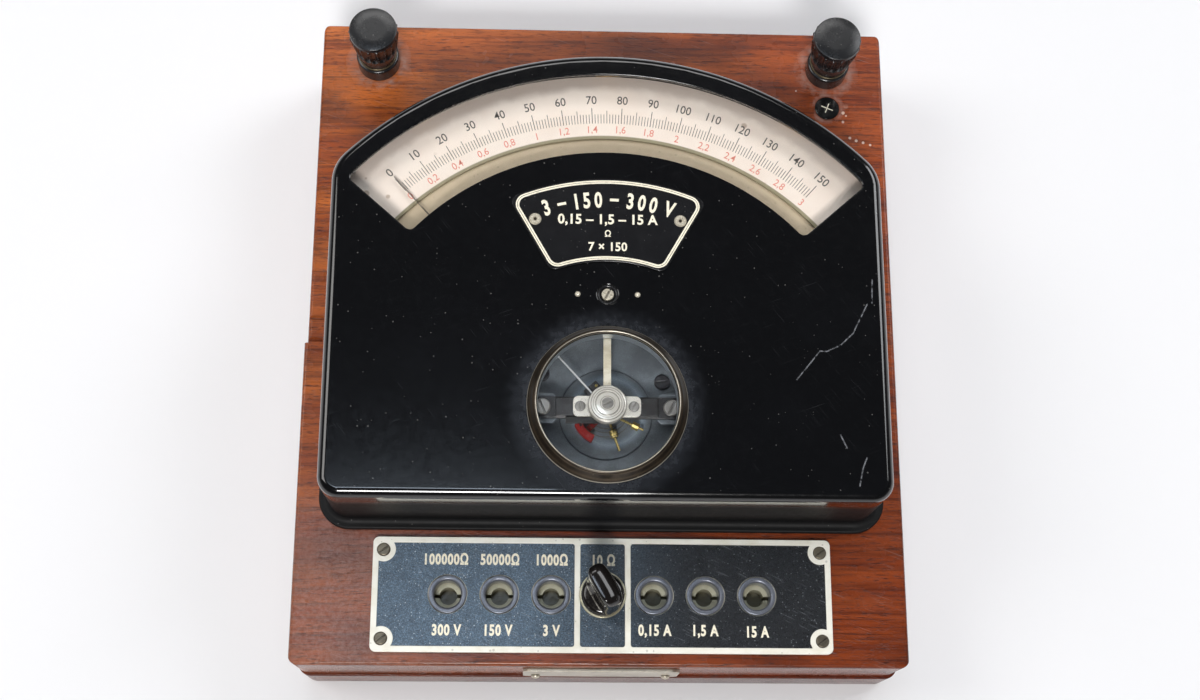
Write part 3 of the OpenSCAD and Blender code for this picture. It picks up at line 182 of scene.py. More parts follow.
def arcPoints(centre, radius, start, end, steps):
    turns = [math.radians(start + (end - start) * i / steps) for i in range(steps + 1)]
    return [(centre[0] + radius * math.sin(t), centre[1] + radius * math.cos(t)) for t in turns]


def mirrored(points):
    return [(-x, y) for x, y in reversed(points)]


def cornerCentre(radius, corner, half, apex):
    # centre of a corner circle that touches the slanted side and lies radius from the pivot
    turn = math.radians(half)
    start = Vector((-corner * math.cos(turn), apex + corner * math.sin(turn)))
    way = Vector((math.sin(turn), math.cos(turn)))
    b = start.dot(way)
    spot = start + (math.sqrt(b * b - start.dot(start) + radius * radius) - b) * way
    return spot.x, spot.y


def sectorPoints(r1, r2, half, corner, apex=0.0):
    # outline of a ring sector with rounded corners, open on its middle line
    arcSteps, cornerSteps, middleGap = 48, 7, 0.4
    outer = cornerCentre(r2 - corner, corner, half, apex)
    inner = cornerCentre(r1 + corner, corner, half, apex)
    outerTurn = math.degrees(math.atan2(outer[0], outer[1]))
    innerTurn = math.degrees(math.atan2(inner[0], inner[1]))
    right = arcPoints((0, 0), r2, middleGap, outerTurn, arcSteps)
    right += arcPoints(outer, corner, outerTurn, 90 + half, cornerSteps)[1:]
    right += arcPoints(inner, corner, 90 + half, 180 + innerTurn, cornerSteps)
    right += arcPoints((0, 0), r1, innerTurn, middleGap, arcSteps)[1:]
    return right + mirrored(right)


def latheMesh(name, profile, steps, centre=(0, 0)):
    # closed profile of (radius, height) points, turned about centre
    points, faces = [], []
    for radius, height in profile:
        for i in range(steps):
            turn = 2 * math.pi * i / steps
            points.append((centre[0] + radius * math.sin(turn), centre[1] + radius * math.cos(turn), height))
    for j in range(len(profile)):
        faces += ringFaces(steps, j * steps, (j + 1) % len(profile) * steps)
    mesh = rawMesh(name, points, faces)
    cleanMesh(mesh)
    return mesh


def joinMeshes(name, meshes):
    bm = bmesh.new()
    for mesh in meshes:
        bm.from_mesh(mesh)
    joined = bpy.data.meshes.new(name)
    bm.to_mesh(joined)
    bm.free()
    for mesh in meshes:
        bpy.data.meshes.remove(mesh)
    return joined


def planCurve(name, outlines, fill="NONE"):
    # closed outlines as one flat curve
    curve = bpy.data.curves.new(name, "CURVE")
    curve.dimensions = "2D"
    curve.fill_mode = fill
    for outline in outlines:
        spline = curve.splines.new("POLY")
        spline.points.add(len(outline) - 1)
        for point, (x, y) in zip(spline.points, outline):
            point.co = (x * mm, y * mm, 0, 1)
        spline.use_cyclic_u = True
    return curve


def filledMesh(name, outlines, z, thickness):
    # flat plate from closed outlines; inner outlines are holes
    curve = planCurve(name, outlines, "BOTH")
    curve.extrude = thickness / 2 * mm
    mesh = takeMesh(linkedObject(name, curve))
    mesh.transform(Matrix.Translation((0, 0, (z + thickness / 2) * mm)))
    bpy.data.curves.remove(curve)
    cleanMesh(mesh)
    return mesh


sizePerHeight = 1.42    # the font's size over the height of its figures


def textMesh(words, height, place, z, turn=0.0, squeeze=1.0, bold=0.0, thickness=0.03, spacing=1.0):
    # letters as a thin mesh, centred at place, turned clockwise by turn degrees
    curve = bpy.data.curves.new("words", "FONT")
    curve.body = words
    curve.size = height * sizePerHeight
    curve.align_x = "CENTER"
    curve.align_y = "CENTER"
    curve.resolution_u = 3
    curve.offset = bold
    curve.extrude = thickness / 2
    curve.space_character = spacing
    mesh = takeMesh(linkedObject("words", curve))
    bpy.data.curves.remove(curve)
    wide = [v.co.x for v in mesh.vertices]
    tall = [v.co.y for v in mesh.vertices]
    centred = Matrix.Translation((-(min(wide) + max(wide)) / 2, -(min(tall) + max(tall)) / 2, 0))
    moved = (
        Matrix.Translation((place[0], place[1], z + thickness / 2))
        @ Matrix.Rotation(math.radians(-turn), 4, "Z")
        @ Matrix.Diagonal((squeeze, 1, 1, 1))
        @ centred
    )
    mesh.transform(Matrix.Scale(mm, 4) @ moved)
    return mesh


# ---- Geometry Nodes helpers

def newGeometryTree(name, inputs):
    tree = bpy.data.node_groups.new(name, "GeometryNodeTree")
    identifiers = {}
    for label, kind in inputs:
        identifiers[label] = tree.interface.new_socket(label, in_out="INPUT", socket_type=kind).identifier
    tree.interface.new_socket("Geometry", in_out="OUTPUT", socket_type="NodeSocketGeometry")
    return tree, identifiers


def setInputs(tree, node, values):
    for key, value in values.items():
        if isinstance(value, bpy.types.NodeSocket):
            tree.links.new(value, node.inputs[key])
        else:
            node.inputs[key].default_value = value


def addNode(tree, kind, values=None, **settings):
    node = tree.nodes.new(kind)
    for key, value in settings.items():
        setattr(node, key, value)
    setInputs(tree, node, values or {})
    return node


def closeTree(tree, geometry, source, offset):
    # moves the result into place, makes instances real and paints it
    moved = addNode(tree, "GeometryNodeTransform", {"Geometry": geometry, "Translation": source[offset]})
    real = addNode(tree, "GeometryNodeRealizeInstances", {"Geometry": moved.outputs["Geometry"]})
    painted = addNode(tree, "GeometryNodeSetMaterial", {
        "Geometry": real.outputs["Geometry"], "Material": source["Finish"]})
    addNode(tree, "NodeGroupOutput", {"Geometry": painted.outputs["Geometry"]})


def runTree(name, tree, identifiers, values):
    # the tree's result as a plain mesh, its modifier gone with its carrier
    carrier = linkedObject(name, bpy.data.meshes.new(name))
    modifier = carrier.modifiers.new("Nodes", "NODES")
    modifier.node_group = tree
    for label, value in values.items():
        modifier[identifiers[label]] = value
    mesh = takeMesh(carrier)
    mesh.name = name
    return mesh


def gridTree():
    # one piece repeated on a grid of points
    tree, identifiers = newGeometryTree("repeatOnGrid", [
        ("Piece", "NodeSocketObject"), ("Columns", "NodeSocketInt"), ("Rows", "NodeSocketInt"),
        ("Width", "NodeSocketFloat"), ("Depth", "NodeSocketFloat"), ("Middle", "NodeSocketVector"),
        ("Finish", "NodeSocketMaterial")])
    source = addNode(tree, "NodeGroupInput").outputs
    grid = addNode(tree, "GeometryNodeMeshGrid", {
        "Size X": source["Width"], "Size Y": source["Depth"],
        "Vertices X": source["Columns"], "Vertices Y": source["Rows"]})
    piece = addNode(tree, "GeometryNodeObjectInfo", {"Object": source["Piece"]})
    placed = addNode(tree, "GeometryNodeInstanceOnPoints", {
        "Points": grid.outputs["Mesh"], "Instance": piece.outputs["Geometry"]})
    closeTree(tree, placed.outputs["Instances"], source, "Middle")
    return tree, identifiers


repeatOnGrid, gridInputs = gridTree()


def repeatPiece(name, mesh, columns, rows, width, depth, middle, material):
    pattern = linkedObject(name + "Pattern", mesh)
    made = runTree(name, repeatOnGrid, gridInputs, {
        "Piece": pattern, "Columns": columns, "Rows": rows, "Width": width * mm, "Depth": depth * mm,
        "Middle": tuple(v * mm for v in middle), "Finish": material})
    bpy.data.objects.remove(pattern)
    return made


# ---- shader helpers

def screen(red, green, blue):
    # a screen colour 0..255 as the linear colour that a shader wants
    shares = [value / 255 for value in (red, green, blue)]
    return (*(s / 12.92 if s <= 0.04045 else ((s + 0.055) / 1.055) ** 2.4 for s in shares), 1.0)


def dimmed(color, share):
    return tuple(c * share for c in color[:3]) + (1,)


def newShaderGroup(name, inputs, outputs):
    tree = bpy.data.node_groups.new(name, "ShaderNodeTree")
    for label, kind, value in inputs:
        socket = tree.interface.new_socket(label, in_out="INPUT", socket_type=kind)
        if value is not None:
            socket.default_value = value
    for label, kind in outputs:
        tree.interface.new_socket(label, in_out="OUTPUT", socket_type=kind)
    return tree, addNode(tree, "NodeGroupInput").outputs


def calc(tree, operation, a, b=None, clamp=False):
    values = {0: a} if b is None else {0: a, 1: b}
    return addNode(tree, "ShaderNodeMath", values, operation=operation, use_clamp=clamp).outputs[0]


def times(tree, a, b, clamp=False):
    return calc(tree, "MULTIPLY", a, b, clamp)


def plus(tree, a, b, clamp=False):
    return calc(tree, "ADD", a, b, clamp)


def larger(tree, a, b):
    return b if a is None else calc(tree, "MAXIMUM", a, b)


def sloped(tree, value, factor, offset):
    return plus(tree, times(tree, value, factor), offset)


def between(tree, value, low, high, start=0.0, end=1.0):
    node = addNode(tree, "ShaderNodeMapRange", {
        "Value": value, "From Min": low, "From Max": high, "To Min": start, "To Max": end},
        interpolation_type="SMOOTHSTEP")
    return node.outputs["Result"]


def mixed(tree, factor, a, b, kind="MIX"):
    node = addNode(tree, "ShaderNodeMix", {0: factor, 6: a, 7: b}, data_type="RGBA", blend_type=kind)
    return node.outputs[2]


def tint(tree, color, mask, amount, over):
    return mixed(tree, times(tree, mask, amount), color, over)


def stretched(tree, vector, scale):
    return addNode(tree, "ShaderNodeMapping", {"Vector": vector, "Scale": scale}).outputs["Vector"]


def grains(tree, vector, scale, detail=3.0, roughness=0.5):
    node = addNode(tree, "ShaderNodeTexNoise", {
        "Vector": vector, "Scale": scale, "Detail": detail, "Roughness": roughness})
    return node.outputs["Fac"]


def clouds(tree, vector, scale, detail, roughness, low, high):
    # noise drawn out between two limits
    return between(tree, grains(tree, vector, scale, detail, roughness), low, high)


def vectorMath(tree, operation, a, b=None):
    values = {0: a} if b is None else {0: a, 1: b}
    return addNode(tree, "ShaderNodeVectorMath", values, operation=operation).outputs


def planDistance(tree, vector, middle):
    # distance on the plan, whatever the height
    away = vectorMath(tree, "SUBTRACT", vector, middle)[0]
    return vectorMath(tree, "LENGTH", vectorMath(tree, "MULTIPLY", away, (1, 1, 0))[0])["Value"]


def separated(tree, vector):
    return addNode(tree, "ShaderNodeSeparateXYZ", {"Vector": vector}).outputs


def useGroup(tree, group, values):
    return addNode(tree, "ShaderNodeGroup", values, node_tree=group).outputs


def makeSpecks():
    # round specks of uneven size scattered over a surface
    tree, given = newShaderGroup("scatteredSpecks", [
        ("Vector", "NodeSocketVector", None), ("Density", "NodeSocketFloat", 400.0),
        ("Share", "NodeSocketFloat", 0.2), ("Size", "NodeSocketFloat", 0.3)], [("Mask", "NodeSocketFloat")])
    cells = addNode(tree, "ShaderNodeTexVoronoi", {"Vector": given["Vector"], "Scale": given["Density"]})
    pick = addNode(tree, "ShaderNodeSeparateColor", {"Color": cells.outputs["Color"]})
    chosen = calc(tree, "LESS_THAN", pick.outputs["Red"], given["Share"])
    reach = times(tree, given["Size"], plus(tree, pick.outputs["Green"], 0.25))
    inside = calc(tree, "SUBTRACT", reach, cells.outputs["Distance"])
    soft = times(tree, inside, 12.0, clamp=True)
    addNode(tree, "NodeGroupOutput", {"Mask": times(tree, soft, chosen)})
    return tree


def makeHairlines():
    # fine straight scratches that come and go
    tree, given = newShaderGroup("hairlineScratches", [
        ("Vector", "NodeSocketVector", None), ("Turn", "NodeSocketFloat", 0.5),
        ("Fineness", "NodeSocketFloat", 1800.0), ("Length", "NodeSocketFloat", 40.0),
        ("Cut", "NodeSocketFloat", 0.7)], [("Mask", "NodeSocketFloat")])
    turned = addNode(tree, "ShaderNodeVectorRotate", {
        "Vector": given["Vector"], "Angle": given["Turn"]}, rotation_type="Z_AXIS")
    split = addNode(tree, "ShaderNodeSeparateXYZ", {"Vector": turned.outputs["Vector"]})
    thin = addNode(tree, "ShaderNodeCombineXYZ", {
        "X": times(tree, split.outputs["X"], given["Length"]),
        "Y": times(tree, split.outputs["Y"], given["Fineness"]),
        "Z": split.outputs["Z"]})
    lines = grains(tree, thin.outputs["Vector"], 1.0, 1.0, 0.4)
    over = calc(tree, "SUBTRACT", lines, given["Cut"])
    sharp = times(tree, over, 14.0, clamp=True)
    patches = between(tree, grains(tree, given["Vector"], 45.0, 2.0), 0.42, 0.62)
    addNode(tree, "NodeGroupOutput", {"Mask": times(tree, sharp, patches)})
    return tree


def makeWornEdges():
    # 1 along outer edges, from the difference between the rounded and the true normal
    tree, given = newShaderGroup("wornEdges", [
        ("Vector", "NodeSocketVector", None), ("Width", "NodeSocketFloat", 0.0006),
        ("Breaks", "NodeSocketFloat", 0.5)], [("Mask", "NodeSocketFloat")])
    rounded = addNode(tree, "ShaderNodeBevel", {"Radius": given["Width"]}, samples=4)
    true = addNode(tree, "ShaderNodeNewGeometry")
    dot = addNode(tree, "ShaderNodeVectorMath", {
        0: rounded.outputs["Normal"], 1: true.outputs["True Normal"]}, operation="DOT_PRODUCT")
    edge = between(tree, dot.outputs["Value"], 0.995, 0.8)
    rough = grains(tree, given["Vector"], 900.0, 3.0, 0.6)
    broken = between(tree, rough, times(tree, given["Breaks"], 0.8), 0.75)
    addNode(tree, "NodeGroupOutput", {"Mask": times(tree, edge, broken)})
    return tree


def makeSpotRing():
    # soft band at a distance from a point of the plan: grime or wear round a fitting
    tree, given = newShaderGroup("bandRoundPoint", [
        ("Vector", "NodeSocketVector", None), ("Middle", "NodeSocketVector", None),
        ("Radius", "NodeSocketFloat", 0.01), ("Spread", "NodeSocketFloat", 0.002)], [("Mask", "NodeSocketFloat")])
    length = planDistance(tree, given["Vector"], given["Middle"])
    off = calc(tree, "ABSOLUTE", calc(tree, "SUBTRACT", length, given["Radius"]))
    band = calc(tree, "SUBTRACT", 1.0, calc(tree, "DIVIDE", off, given["Spread"]), clamp=True)
    addNode(tree, "NodeGroupOutput", {"Mask": calc(tree, "POWER", band, 1.6)})
    return tree


def makeScratchLine():
    # one straight scratch between two points of the plan
    tree, given = newShaderGroup("scratchLine", [
        ("Vector", "NodeSocketVector", None), ("From", "NodeSocketVector", None),
        ("To", "NodeSocketVector", None), ("Width", "NodeSocketFloat", 0.0003)], [("Mask", "NodeSocketFloat")])
    away = vectorMath(tree, "SUBTRACT", given["Vector"], given["From"])[0]
    point = vectorMath(tree, "MULTIPLY", away, (1, 1, 0))[0]
    whole = vectorMath(tree, "SUBTRACT", given["To"], given["From"])[0]
    run = vectorMath(tree, "MULTIPLY", whole, (1, 1, 0))[0]
    along = calc(tree, "DIVIDE", vectorMath(tree, "DOT_PRODUCT", point, run)["Value"],
                 vectorMath(tree, "DOT_PRODUCT", run, run)["Value"], clamp=True)
    nearest = addNode(tree, "ShaderNodeVectorMath", {0: run, "Scale": along}, operation="SCALE").outputs[0]
    gap = vectorMath(tree, "LENGTH", vectorMath(tree, "SUBTRACT", point, nearest)[0])["Value"]
    line = calc(tree, "SUBTRACT", 1.0, calc(tree, "DIVIDE", gap, given["Width"]), clamp=True)
    addNode(tree, "NodeGroupOutput", {"Mask": line})
    return tree


def makeWoodFigure():
    # mahogany: broad bands, ribbon clouds and short dark pores, all along X
    tree, given = newShaderGroup("woodFigure", [
        ("Vector", "NodeSocketVector", None), ("Light", "NodeSocketColor", (0.4, 0.1, 0.03, 1)),
        ("Middle", "NodeSocketColor", (0.25, 0.06, 0.02, 1)), ("Dark", "NodeSocketColor", (0.08, 0.02, 0.01, 1)),
        ("Pores", "NodeSocketFloat", 0.8)],
        [("Color", "NodeSocketColor"), ("Height", "NodeSocketFloat")])
    vector = given["Vector"]
    wander = addNode(tree, "ShaderNodeTexNoise", {"Vector": stretched(tree, vector, (9, 30, 30)), "Scale": 1.0})
    drift = vectorMath(tree, "MULTIPLY", wander.outputs["Color"], (0.0, 0.006, 0.006))[0]
    bent = vectorMath(tree, "ADD", vector, drift)[0]
    bands = grains(tree, stretched(tree, bent, (7, 95, 95)), 1.0, 4.0, 0.6)
    ribbons = grains(tree, stretched(tree, vector, (28, 42, 42)), 1.0, 2.0, 0.5)
    streaks = grains(tree, stretched(tree, bent, (26, 820, 820)), 1.0, 4.0, 0.65)
    dashes = grains(tree, stretched(tree, bent, (210, 2100, 2100)), 1.0, 2.0, 0.65)
    fine = grains(tree, stretched(tree, bent, (620, 4200, 4200)), 1.0, 2.0, 0.6)
    base = mixed(tree, between(tree, bands, 0.33, 0.68), given["Light"], given["Middle"])
    base = tint(tree, base, between(tree, ribbons, 0.4, 0.75), 0.55, given["Dark"])
    base = tint(tree, base, between(tree, streaks, 0.42, 0.7), 0.65, given["Dark"])
    pore = times(tree, between(tree, dashes, 0.53, 0.7), given["Pores"])
    small = times(tree, between(tree, fine, 0.56, 0.74), times(tree, given["Pores"], 0.6))
    both = larger(tree, pore, small)
    color = mixed(tree, both, base, given["Dark"])
    height = calc(tree, "SUBTRACT", times(tree, streaks, 0.35), both)
    addNode(tree, "NodeGroupOutput", {"Color": color, "Height": height})
    return tree


def makeCornerShadeAndGrime():
    # 1 in slots, bores and inner corners: painted shade, with the dirt that gathers there
    tree, given = newShaderGroup("cornerGrime", [("Reach", "NodeSocketFloat", 0.0012)], [("Mask", "NodeSocketFloat")])
    seen = addNode(tree, "ShaderNodeAmbientOcclusion", {"Distance": given["Reach"]}, samples=6)
    addNode(tree, "NodeGroupOutput", {"Mask": between(tree, seen.outputs["AO"], 0.72, 0.3)})
    return tree


specks = makeSpecks()
cornerGrime = makeCornerShadeAndGrime()
hairlines = makeHairlines()
wornEdges = makeWornEdges()
spotRing = makeSpotRing()
scratchLine = makeScratchLine()
woodFigure = makeWoodFigure()


def newMaterial(name):
    material = bpy.data.materials.new(name)
    material.use_nodes = True
    tree = material.node_tree
    shader = tree.nodes["Principled BSDF"]
    here = addNode(tree, "ShaderNodeTexCoord").outputs["Object"]
    return material, tree, shader, here


def bumped(tree, height, strength, distance):
    node = addNode(tree, "ShaderNodeBump", {"Height": height, "Strength": strength, "Distance": distance})
    return node.outputs["Normal"]


def dotted(tree, here, density, share, size):
    return useGroup(tree, specks, {"Vector": here, "Density": density, "Share": share, "Size": size})["Mask"]


def scratched(tree, here, turn, fineness, length, cut):
    return useGroup(tree, hairlines, {
        "Vector": here, "Turn": turn, "Fineness": fineness, "Length": length, "Cut": cut})["Mask"]


def edgeWear(tree, here, width, breaks):
    return useGroup(tree, wornEdges, {"Vector": here, "Width": width, "Breaks": breaks})["Mask"]


def cornerShadeAndDirt(tree, reach):
    return useGroup(tree, cornerGrime, {"Reach": reach})["Mask"]


def ringMarks(tree, here, middle, bands):
    # thin soft rings about a point of the plan, each (radius, half width); all in millimetres
    total = None
    for radius, spread in bands:
        total = larger(tree, total, useGroup(tree, spotRing, {
            "Vector": here, "Middle": (middle[0] * mm, middle[1] * mm, 0),
            "Radius": radius * mm, "Spread": spread * mm})["Mask"])
    return total


def simpleMetal(name, color, roughness, metallic=1.0, dull=0.35, tarnish=None, grain=2600.0,
                stretch=(1, 1, 1), wear=0.0, bump=0.04, dirt=0.3, grime=0.7, rings=()):
    # plated or turned metal: cloudy tarnish, tool marks, corners darkened by painted shade and grime, bright edges
    material, tree, shader, here = newMaterial(name)
    color = screen(*color)
    tarnish = screen(*tarnish) if tarnish else dimmed(color, 0.45)
    cloud = grains(tree, here, 160.0, 4.0, 0.6)
    fine = grains(tree, stretched(tree, here, stretch), grain, 3.0, 0.6)
    base = mixed(tree, times(tree, between(tree, cloud, 0.4, 0.7), dull), color, tarnish)
    spots = dotted(tree, here, 900.0, 0.12, 0.35)
    base = tint(tree, base, spots, dirt, dimmed(tarnish, 0.3))
    dark = dimmed(tarnish, 0.16)
    if rings:
        cut = ringMarks(tree, here, (0, places["axisY"]), rings)
        base = tint(tree, base, cut, 0.95, dark)
    if wear:
        edge = edgeWear(tree, here, 0.0004, 0.3)
        base = tint(tree, base, edge, wear, tuple(min(1, c * 1.5 + 0.08) for c in color[:3]) + (1,))
    # painted shade: slots and inner corners darkened towards dark tarnish, together with grime
    if grime:
        shadedCorners = cornerShadeAndDirt(tree, 0.0012)
        base = tint(tree, base, shadedCorners, grime, dark)
    rough = sloped(tree, fine, 0.2, roughness - 0.1)
    setInputs(tree, shader, {
        "Base Color": base, "Metallic": metallic, "Roughness": rough,
        "Normal": bumped(tree, fine, bump, 0.00008)})
    return material


def blackPlastic(name, color, roughness, haze=0.12, wear=0.25, hazeColor=(0.09, 0.1, 0.11, 1), grain=500.0, bump=0.1,
                 cloudRough=0.18, wearColor=(0.16, 0.16, 0.16, 1), dusty=0.35):
    # moulded black insulating stuff: polished, hazed by handling, greyer at its edges
    material, tree, shader, here = newMaterial(name)
    cloud = clouds(tree, here, 210.0, 4.0, 0.62, 0.42, 0.72)
    edge = edgeWear(tree, here, 0.0005, 0.35)
    dust = dotted(tree, here, 1500.0, 0.1, 0.3)
    base = mixed(tree, times(tree, cloud, haze), color, hazeColor)
    base = tint(tree, base, edge, wear, wearColor)
    base = tint(tree, base, dust, dusty, (0.3, 0.29, 0.27, 1))
    fine = grains(tree, here, grain, 3.0, 0.5)
    rough = plus(tree, times(tree, cloud, cloudRough), roughness)
    setInputs(tree, shader, {
        "Base Color": base, "Roughness": rough, "Normal": bumped(tree, fine, bump, 0.00006)})
    return material


# ---- materials

woodLook = {
    "light": screen(192, 102, 40),
    "middle": screen(146, 66, 24),
    "dark": screen(58, 20, 10),
    # pale haze colour: dust rings and scuffs, and also the painted reflection on the front left of the top board
    "haze": screen(158, 128, 118),
    "paint": screen(220, 196, 180),
    "paintSpots": [  # x, y, radius of the pale flecks on the top board
        (69.8, 92.5, 0.5), (86.7, 84.1, 0.9), (87.7, 83.0, 0.6), (86.5, 80.6, 0.6), (88.8, 74.4, 0.8),
        (91.0, 73.3, 0.9), (93.5, 72.6, 0.7), (96.0, 71.8, 0.6)],
    "paintCorner": (88.0, 78.5),      # finer flecks gather about here
    "postDust": (8.8, 3.8),           # radius and half width of the dust rings on the board
    "markerDust": (5.2, 1.6),
    "trough": screen(112, 108, 88),   # grey lining of the trough under the sockets
    "troughTop": 43.0,
    "troughHalf": (60.0, 8.5),
}


def varnishedWood(name, look, pores=0.8, darker=0.0, crossGrain=True, topBoard=False):
    material, tree, shader, here = newMaterial(name)
    grainWay = here
    normal = addNode(tree, "ShaderNodeNewGeometry").outputs["True Normal"]
    facing = separated(tree, normal)
    if crossGrain:  # the side boards run front to back
        spot = separated(tree, here)
        turned = addNode(tree, "ShaderNodeCombineXYZ", {
            "X": spot["Y"], "Y": spot["Z"], "Z": spot["X"]})
        side = calc(tree, "GREATER_THAN", calc(tree, "ABSOLUTE", facing["X"]), 0.7)
        low = calc(tree, "LESS_THAN", spot["Z"], places["boardUnder"] * mm)
        pick = addNode(tree, "ShaderNodeMix", {
            0: times(tree, side, low), 4: here, 5: turned.outputs["Vector"]}, data_type="VECTOR")
        grainWay = pick.outputs[1]
    wood = useGroup(tree, woodFigure, {
        "Vector": grainWay, "Light": look["light"], "Middle": look["middle"], "Dark": look["dark"], "Pores": pores})
    spot = separated(tree, here)
    redder = between(tree, spot["X"], -0.09, 0.1, 0.0, 0.75)
    color = mixed(tree, redder, wood["Color"], mixed(tree, 1.0, wood["Color"], (0.66, 0.44, 0.48, 1), "MULTIPLY"))
    frontDarker = between(tree, spot["Y"], 0.09, -0.1, 0.0, 0.6 + darker)
    color = mixed(tree, frontDarker, color, mixed(tree, 1.0, color, (0.5, 0.45, 0.5, 1), "MULTIPLY"))
    edge = edgeWear(tree, here, 0.0022, 0.1)
    color = tint(tree, color, edge, 0.65, look["dark"])
    haze = ringMarks(tree, here, (places["postX"], places["markerY"]), [look["markerDust"]])
    for x in (-places["postX"], places["postX"]):
        haze = larger(tree, haze, ringMarks(tree, here, (x, places["postY"]), [look["postDust"]]))
    broken = clouds(tree, here, 260.0, 4.0, 0.65, 0.3, 0.75)
    upward = calc(tree, "GREATER_THAN", facing["Z"], 0.6)
    haze = times(tree, times(tree, haze, broken), times(tree, upward, 0.95))
    color = mixed(tree, haze, color, look["haze"])
    flecks = dotted(tree, here, 230.0, 0.5, 0.2)
    corner = ringMarks(tree, here, look["paintCorner"], [(0.0, 20.0)])
    flecks = times(tree, flecks, between(tree, corner, 0.3, 0.8), clamp=True)
    if topBoard:
        for x, y, radius in look["paintSpots"]:
            drop = ringMarks(tree, here, (x, y), [(0.0, radius * 1.4)])
            drop = between(tree, plus(tree, drop, times(tree, broken, 0.3)), 0.4, 0.55)
            flecks = larger(tree, flecks, drop)
        # painted reflection: a pale sheen over the front left of the top board
        paintedReflectionX = between(tree, spot["X"], -0.03, -0.09)
        paintedReflectionY = between(tree, spot["Y"], -0.045, -0.075)
        patchy = clouds(tree, here, 700.0, 4.0, 0.75, 0.3, 0.7)
        paintedReflection = times(tree, times(tree, paintedReflectionX, paintedReflectionY), sloped(tree, patchy, 0.3, 0.1))
        color = mixed(tree, paintedReflection, color, look["haze"])
    color = tint(tree, color, flecks, 0.85, look["paint"])
    scuffs = scratched(tree, here, 0.35, 2400.0, 90.0, 0.66)
    color = tint(tree, color, scuffs, 0.3, look["haze"])
    offX = calc(tree, "ABSOLUTE", spot["X"])
    offY = calc(tree, "ABSOLUTE", plus(tree, spot["Y"], -places["panelY"] * mm))
    trough = calc(tree, "GREATER_THAN", spot["Z"], places["boardUnder"] * mm)
    for distance, limit in ((spot["Z"], look["troughTop"]), (offX, look["troughHalf"][0]),
            (offY, look["troughHalf"][1])):
        trough = times(tree, trough, calc(tree, "LESS_THAN", distance, limit * mm))
    color = mixed(tree, trough, color, look["trough"])
    cloud = grains(tree, here, 60.0, 3.0, 0.6)
    rough = sloped(tree, cloud, 0.2, 0.16)
    rough = plus(tree, rough, times(tree, haze, 0.3))
    setInputs(tree, shader, {
        "Base Color": color, "Roughness": rough, "Specular IOR Level": 0.35, "Coat Weight": 0.1, "Coat Roughness": 0.22,
        "Normal": bumped(tree, wood["Height"], 0.35, 0.00012)})
    return material


lacquerLook = {
    "black": (0.0024, 0.0024, 0.0028, 1),
    "haze": screen(88, 93, 104),
    "bezelHaze": (26.2, 7.5),   # radius and half width
    "chip": screen(205, 203, 198),
    "scratch": screen(150, 152, 158),
    "dullFrom": 32.0,      # heights above the board between which the wall goes from gloss to dull
    "dullTo": 24.0,
    "scratches": [  # runs on the plan, from the pivot
        ((60.7, 8.8), (68.5, 18.4), (70.7, 18.3), (75.3, 20.5), (79.4, 24.5), (84.4, 34.4)),
        ((79.6, -25.7), (80.8, -20.1), (82.2, -16.6)),
        ((74.1, -9.3), (76.0, -13.5)),
        ((86.4, 42.8), (86.0, 34.9))],
}


def lacqueredSheet():
    material, tree, shader, here = newMaterial("blackLacquer")
    look = lacquerLook
    cloud = clouds(tree, here, 380.0, 5.0, 0.7, 0.3, 0.75)
    nearBezel = ringMarks(tree, here, (0, places["axisY"]), [look["bezelHaze"]])
    haze = times(tree, nearBezel, sloped(tree, cloud, 0.6, 0.3))
    film = times(tree, clouds(tree, here, 34.0, 4.0, 0.6, 0.45, 0.8), 0.012)
    dust = dotted(tree, here, 900.0, 0.09, 0.22)
    chips = dotted(tree, here, 90.0, 0.07, 0.045)
    lines = scratched(tree, here, 0.9, 5200.0, 90.0, 0.7)
    lines = larger(tree, lines, scratched(tree, here, -0.35, 4600.0, 70.0, 0.72))
    marks = None
    legs = [leg for run in look["scratches"] for leg in zip(run, run[1:])]
    for start, end in legs:
        marks = larger(tree, marks, useGroup(tree, scratchLine, {
            "Vector": here, "From": (start[0] * mm, (start[1] + places["axisY"]) * mm, 0),
            "To": (end[0] * mm, (end[1] + places["axisY"]) * mm, 0), "Width": 0.0003})["Mask"])
    marks = times(tree, marks, clouds(tree, here, 700.0, 3.0, 0.6, 0.35, 0.6))
    color = mixed(tree, plus(tree, times(tree, haze, 0.26), film, clamp=True), look["black"], look["haze"])
    color = tint(tree, color, dust, 0.14, look["chip"])
    color = tint(tree, color, lines, 0.07, look["scratch"])
    color = tint(tree, color, marks, 0.75, look["scratch"])
    edge = edgeWear(tree, here, 0.0005, 0.6)
    color = mixed(tree, larger(tree, chips, times(tree, edge, 0.35)), color, look["chip"])
    height = separated(tree, here)["Z"]
    low = between(tree, height, (places["boardTop"] + look["dullFrom"]) * mm,
        (places["boardTop"] + look["dullTo"]) * mm)
    rough = sloped(tree, cloud, 0.06, 0.12)
    rough = plus(tree, rough, times(tree, haze, 0.3))
    rough = plus(tree, rough, times(tree, low, 0.42))
    peel = grains(tree, here, 420.0, 2.0, 0.5)
    setInputs(tree, shader, {
        "Base Color": color, "Roughness": rough, "Specular IOR Level": 0.25,
        "Coat Weight": times(tree, calc(tree, "SUBTRACT", 1.0, low), 0.9),
        "Coat Roughness": 0.04, "Normal": bumped(tree, peel, 0.03, 0.0001)})
    return material


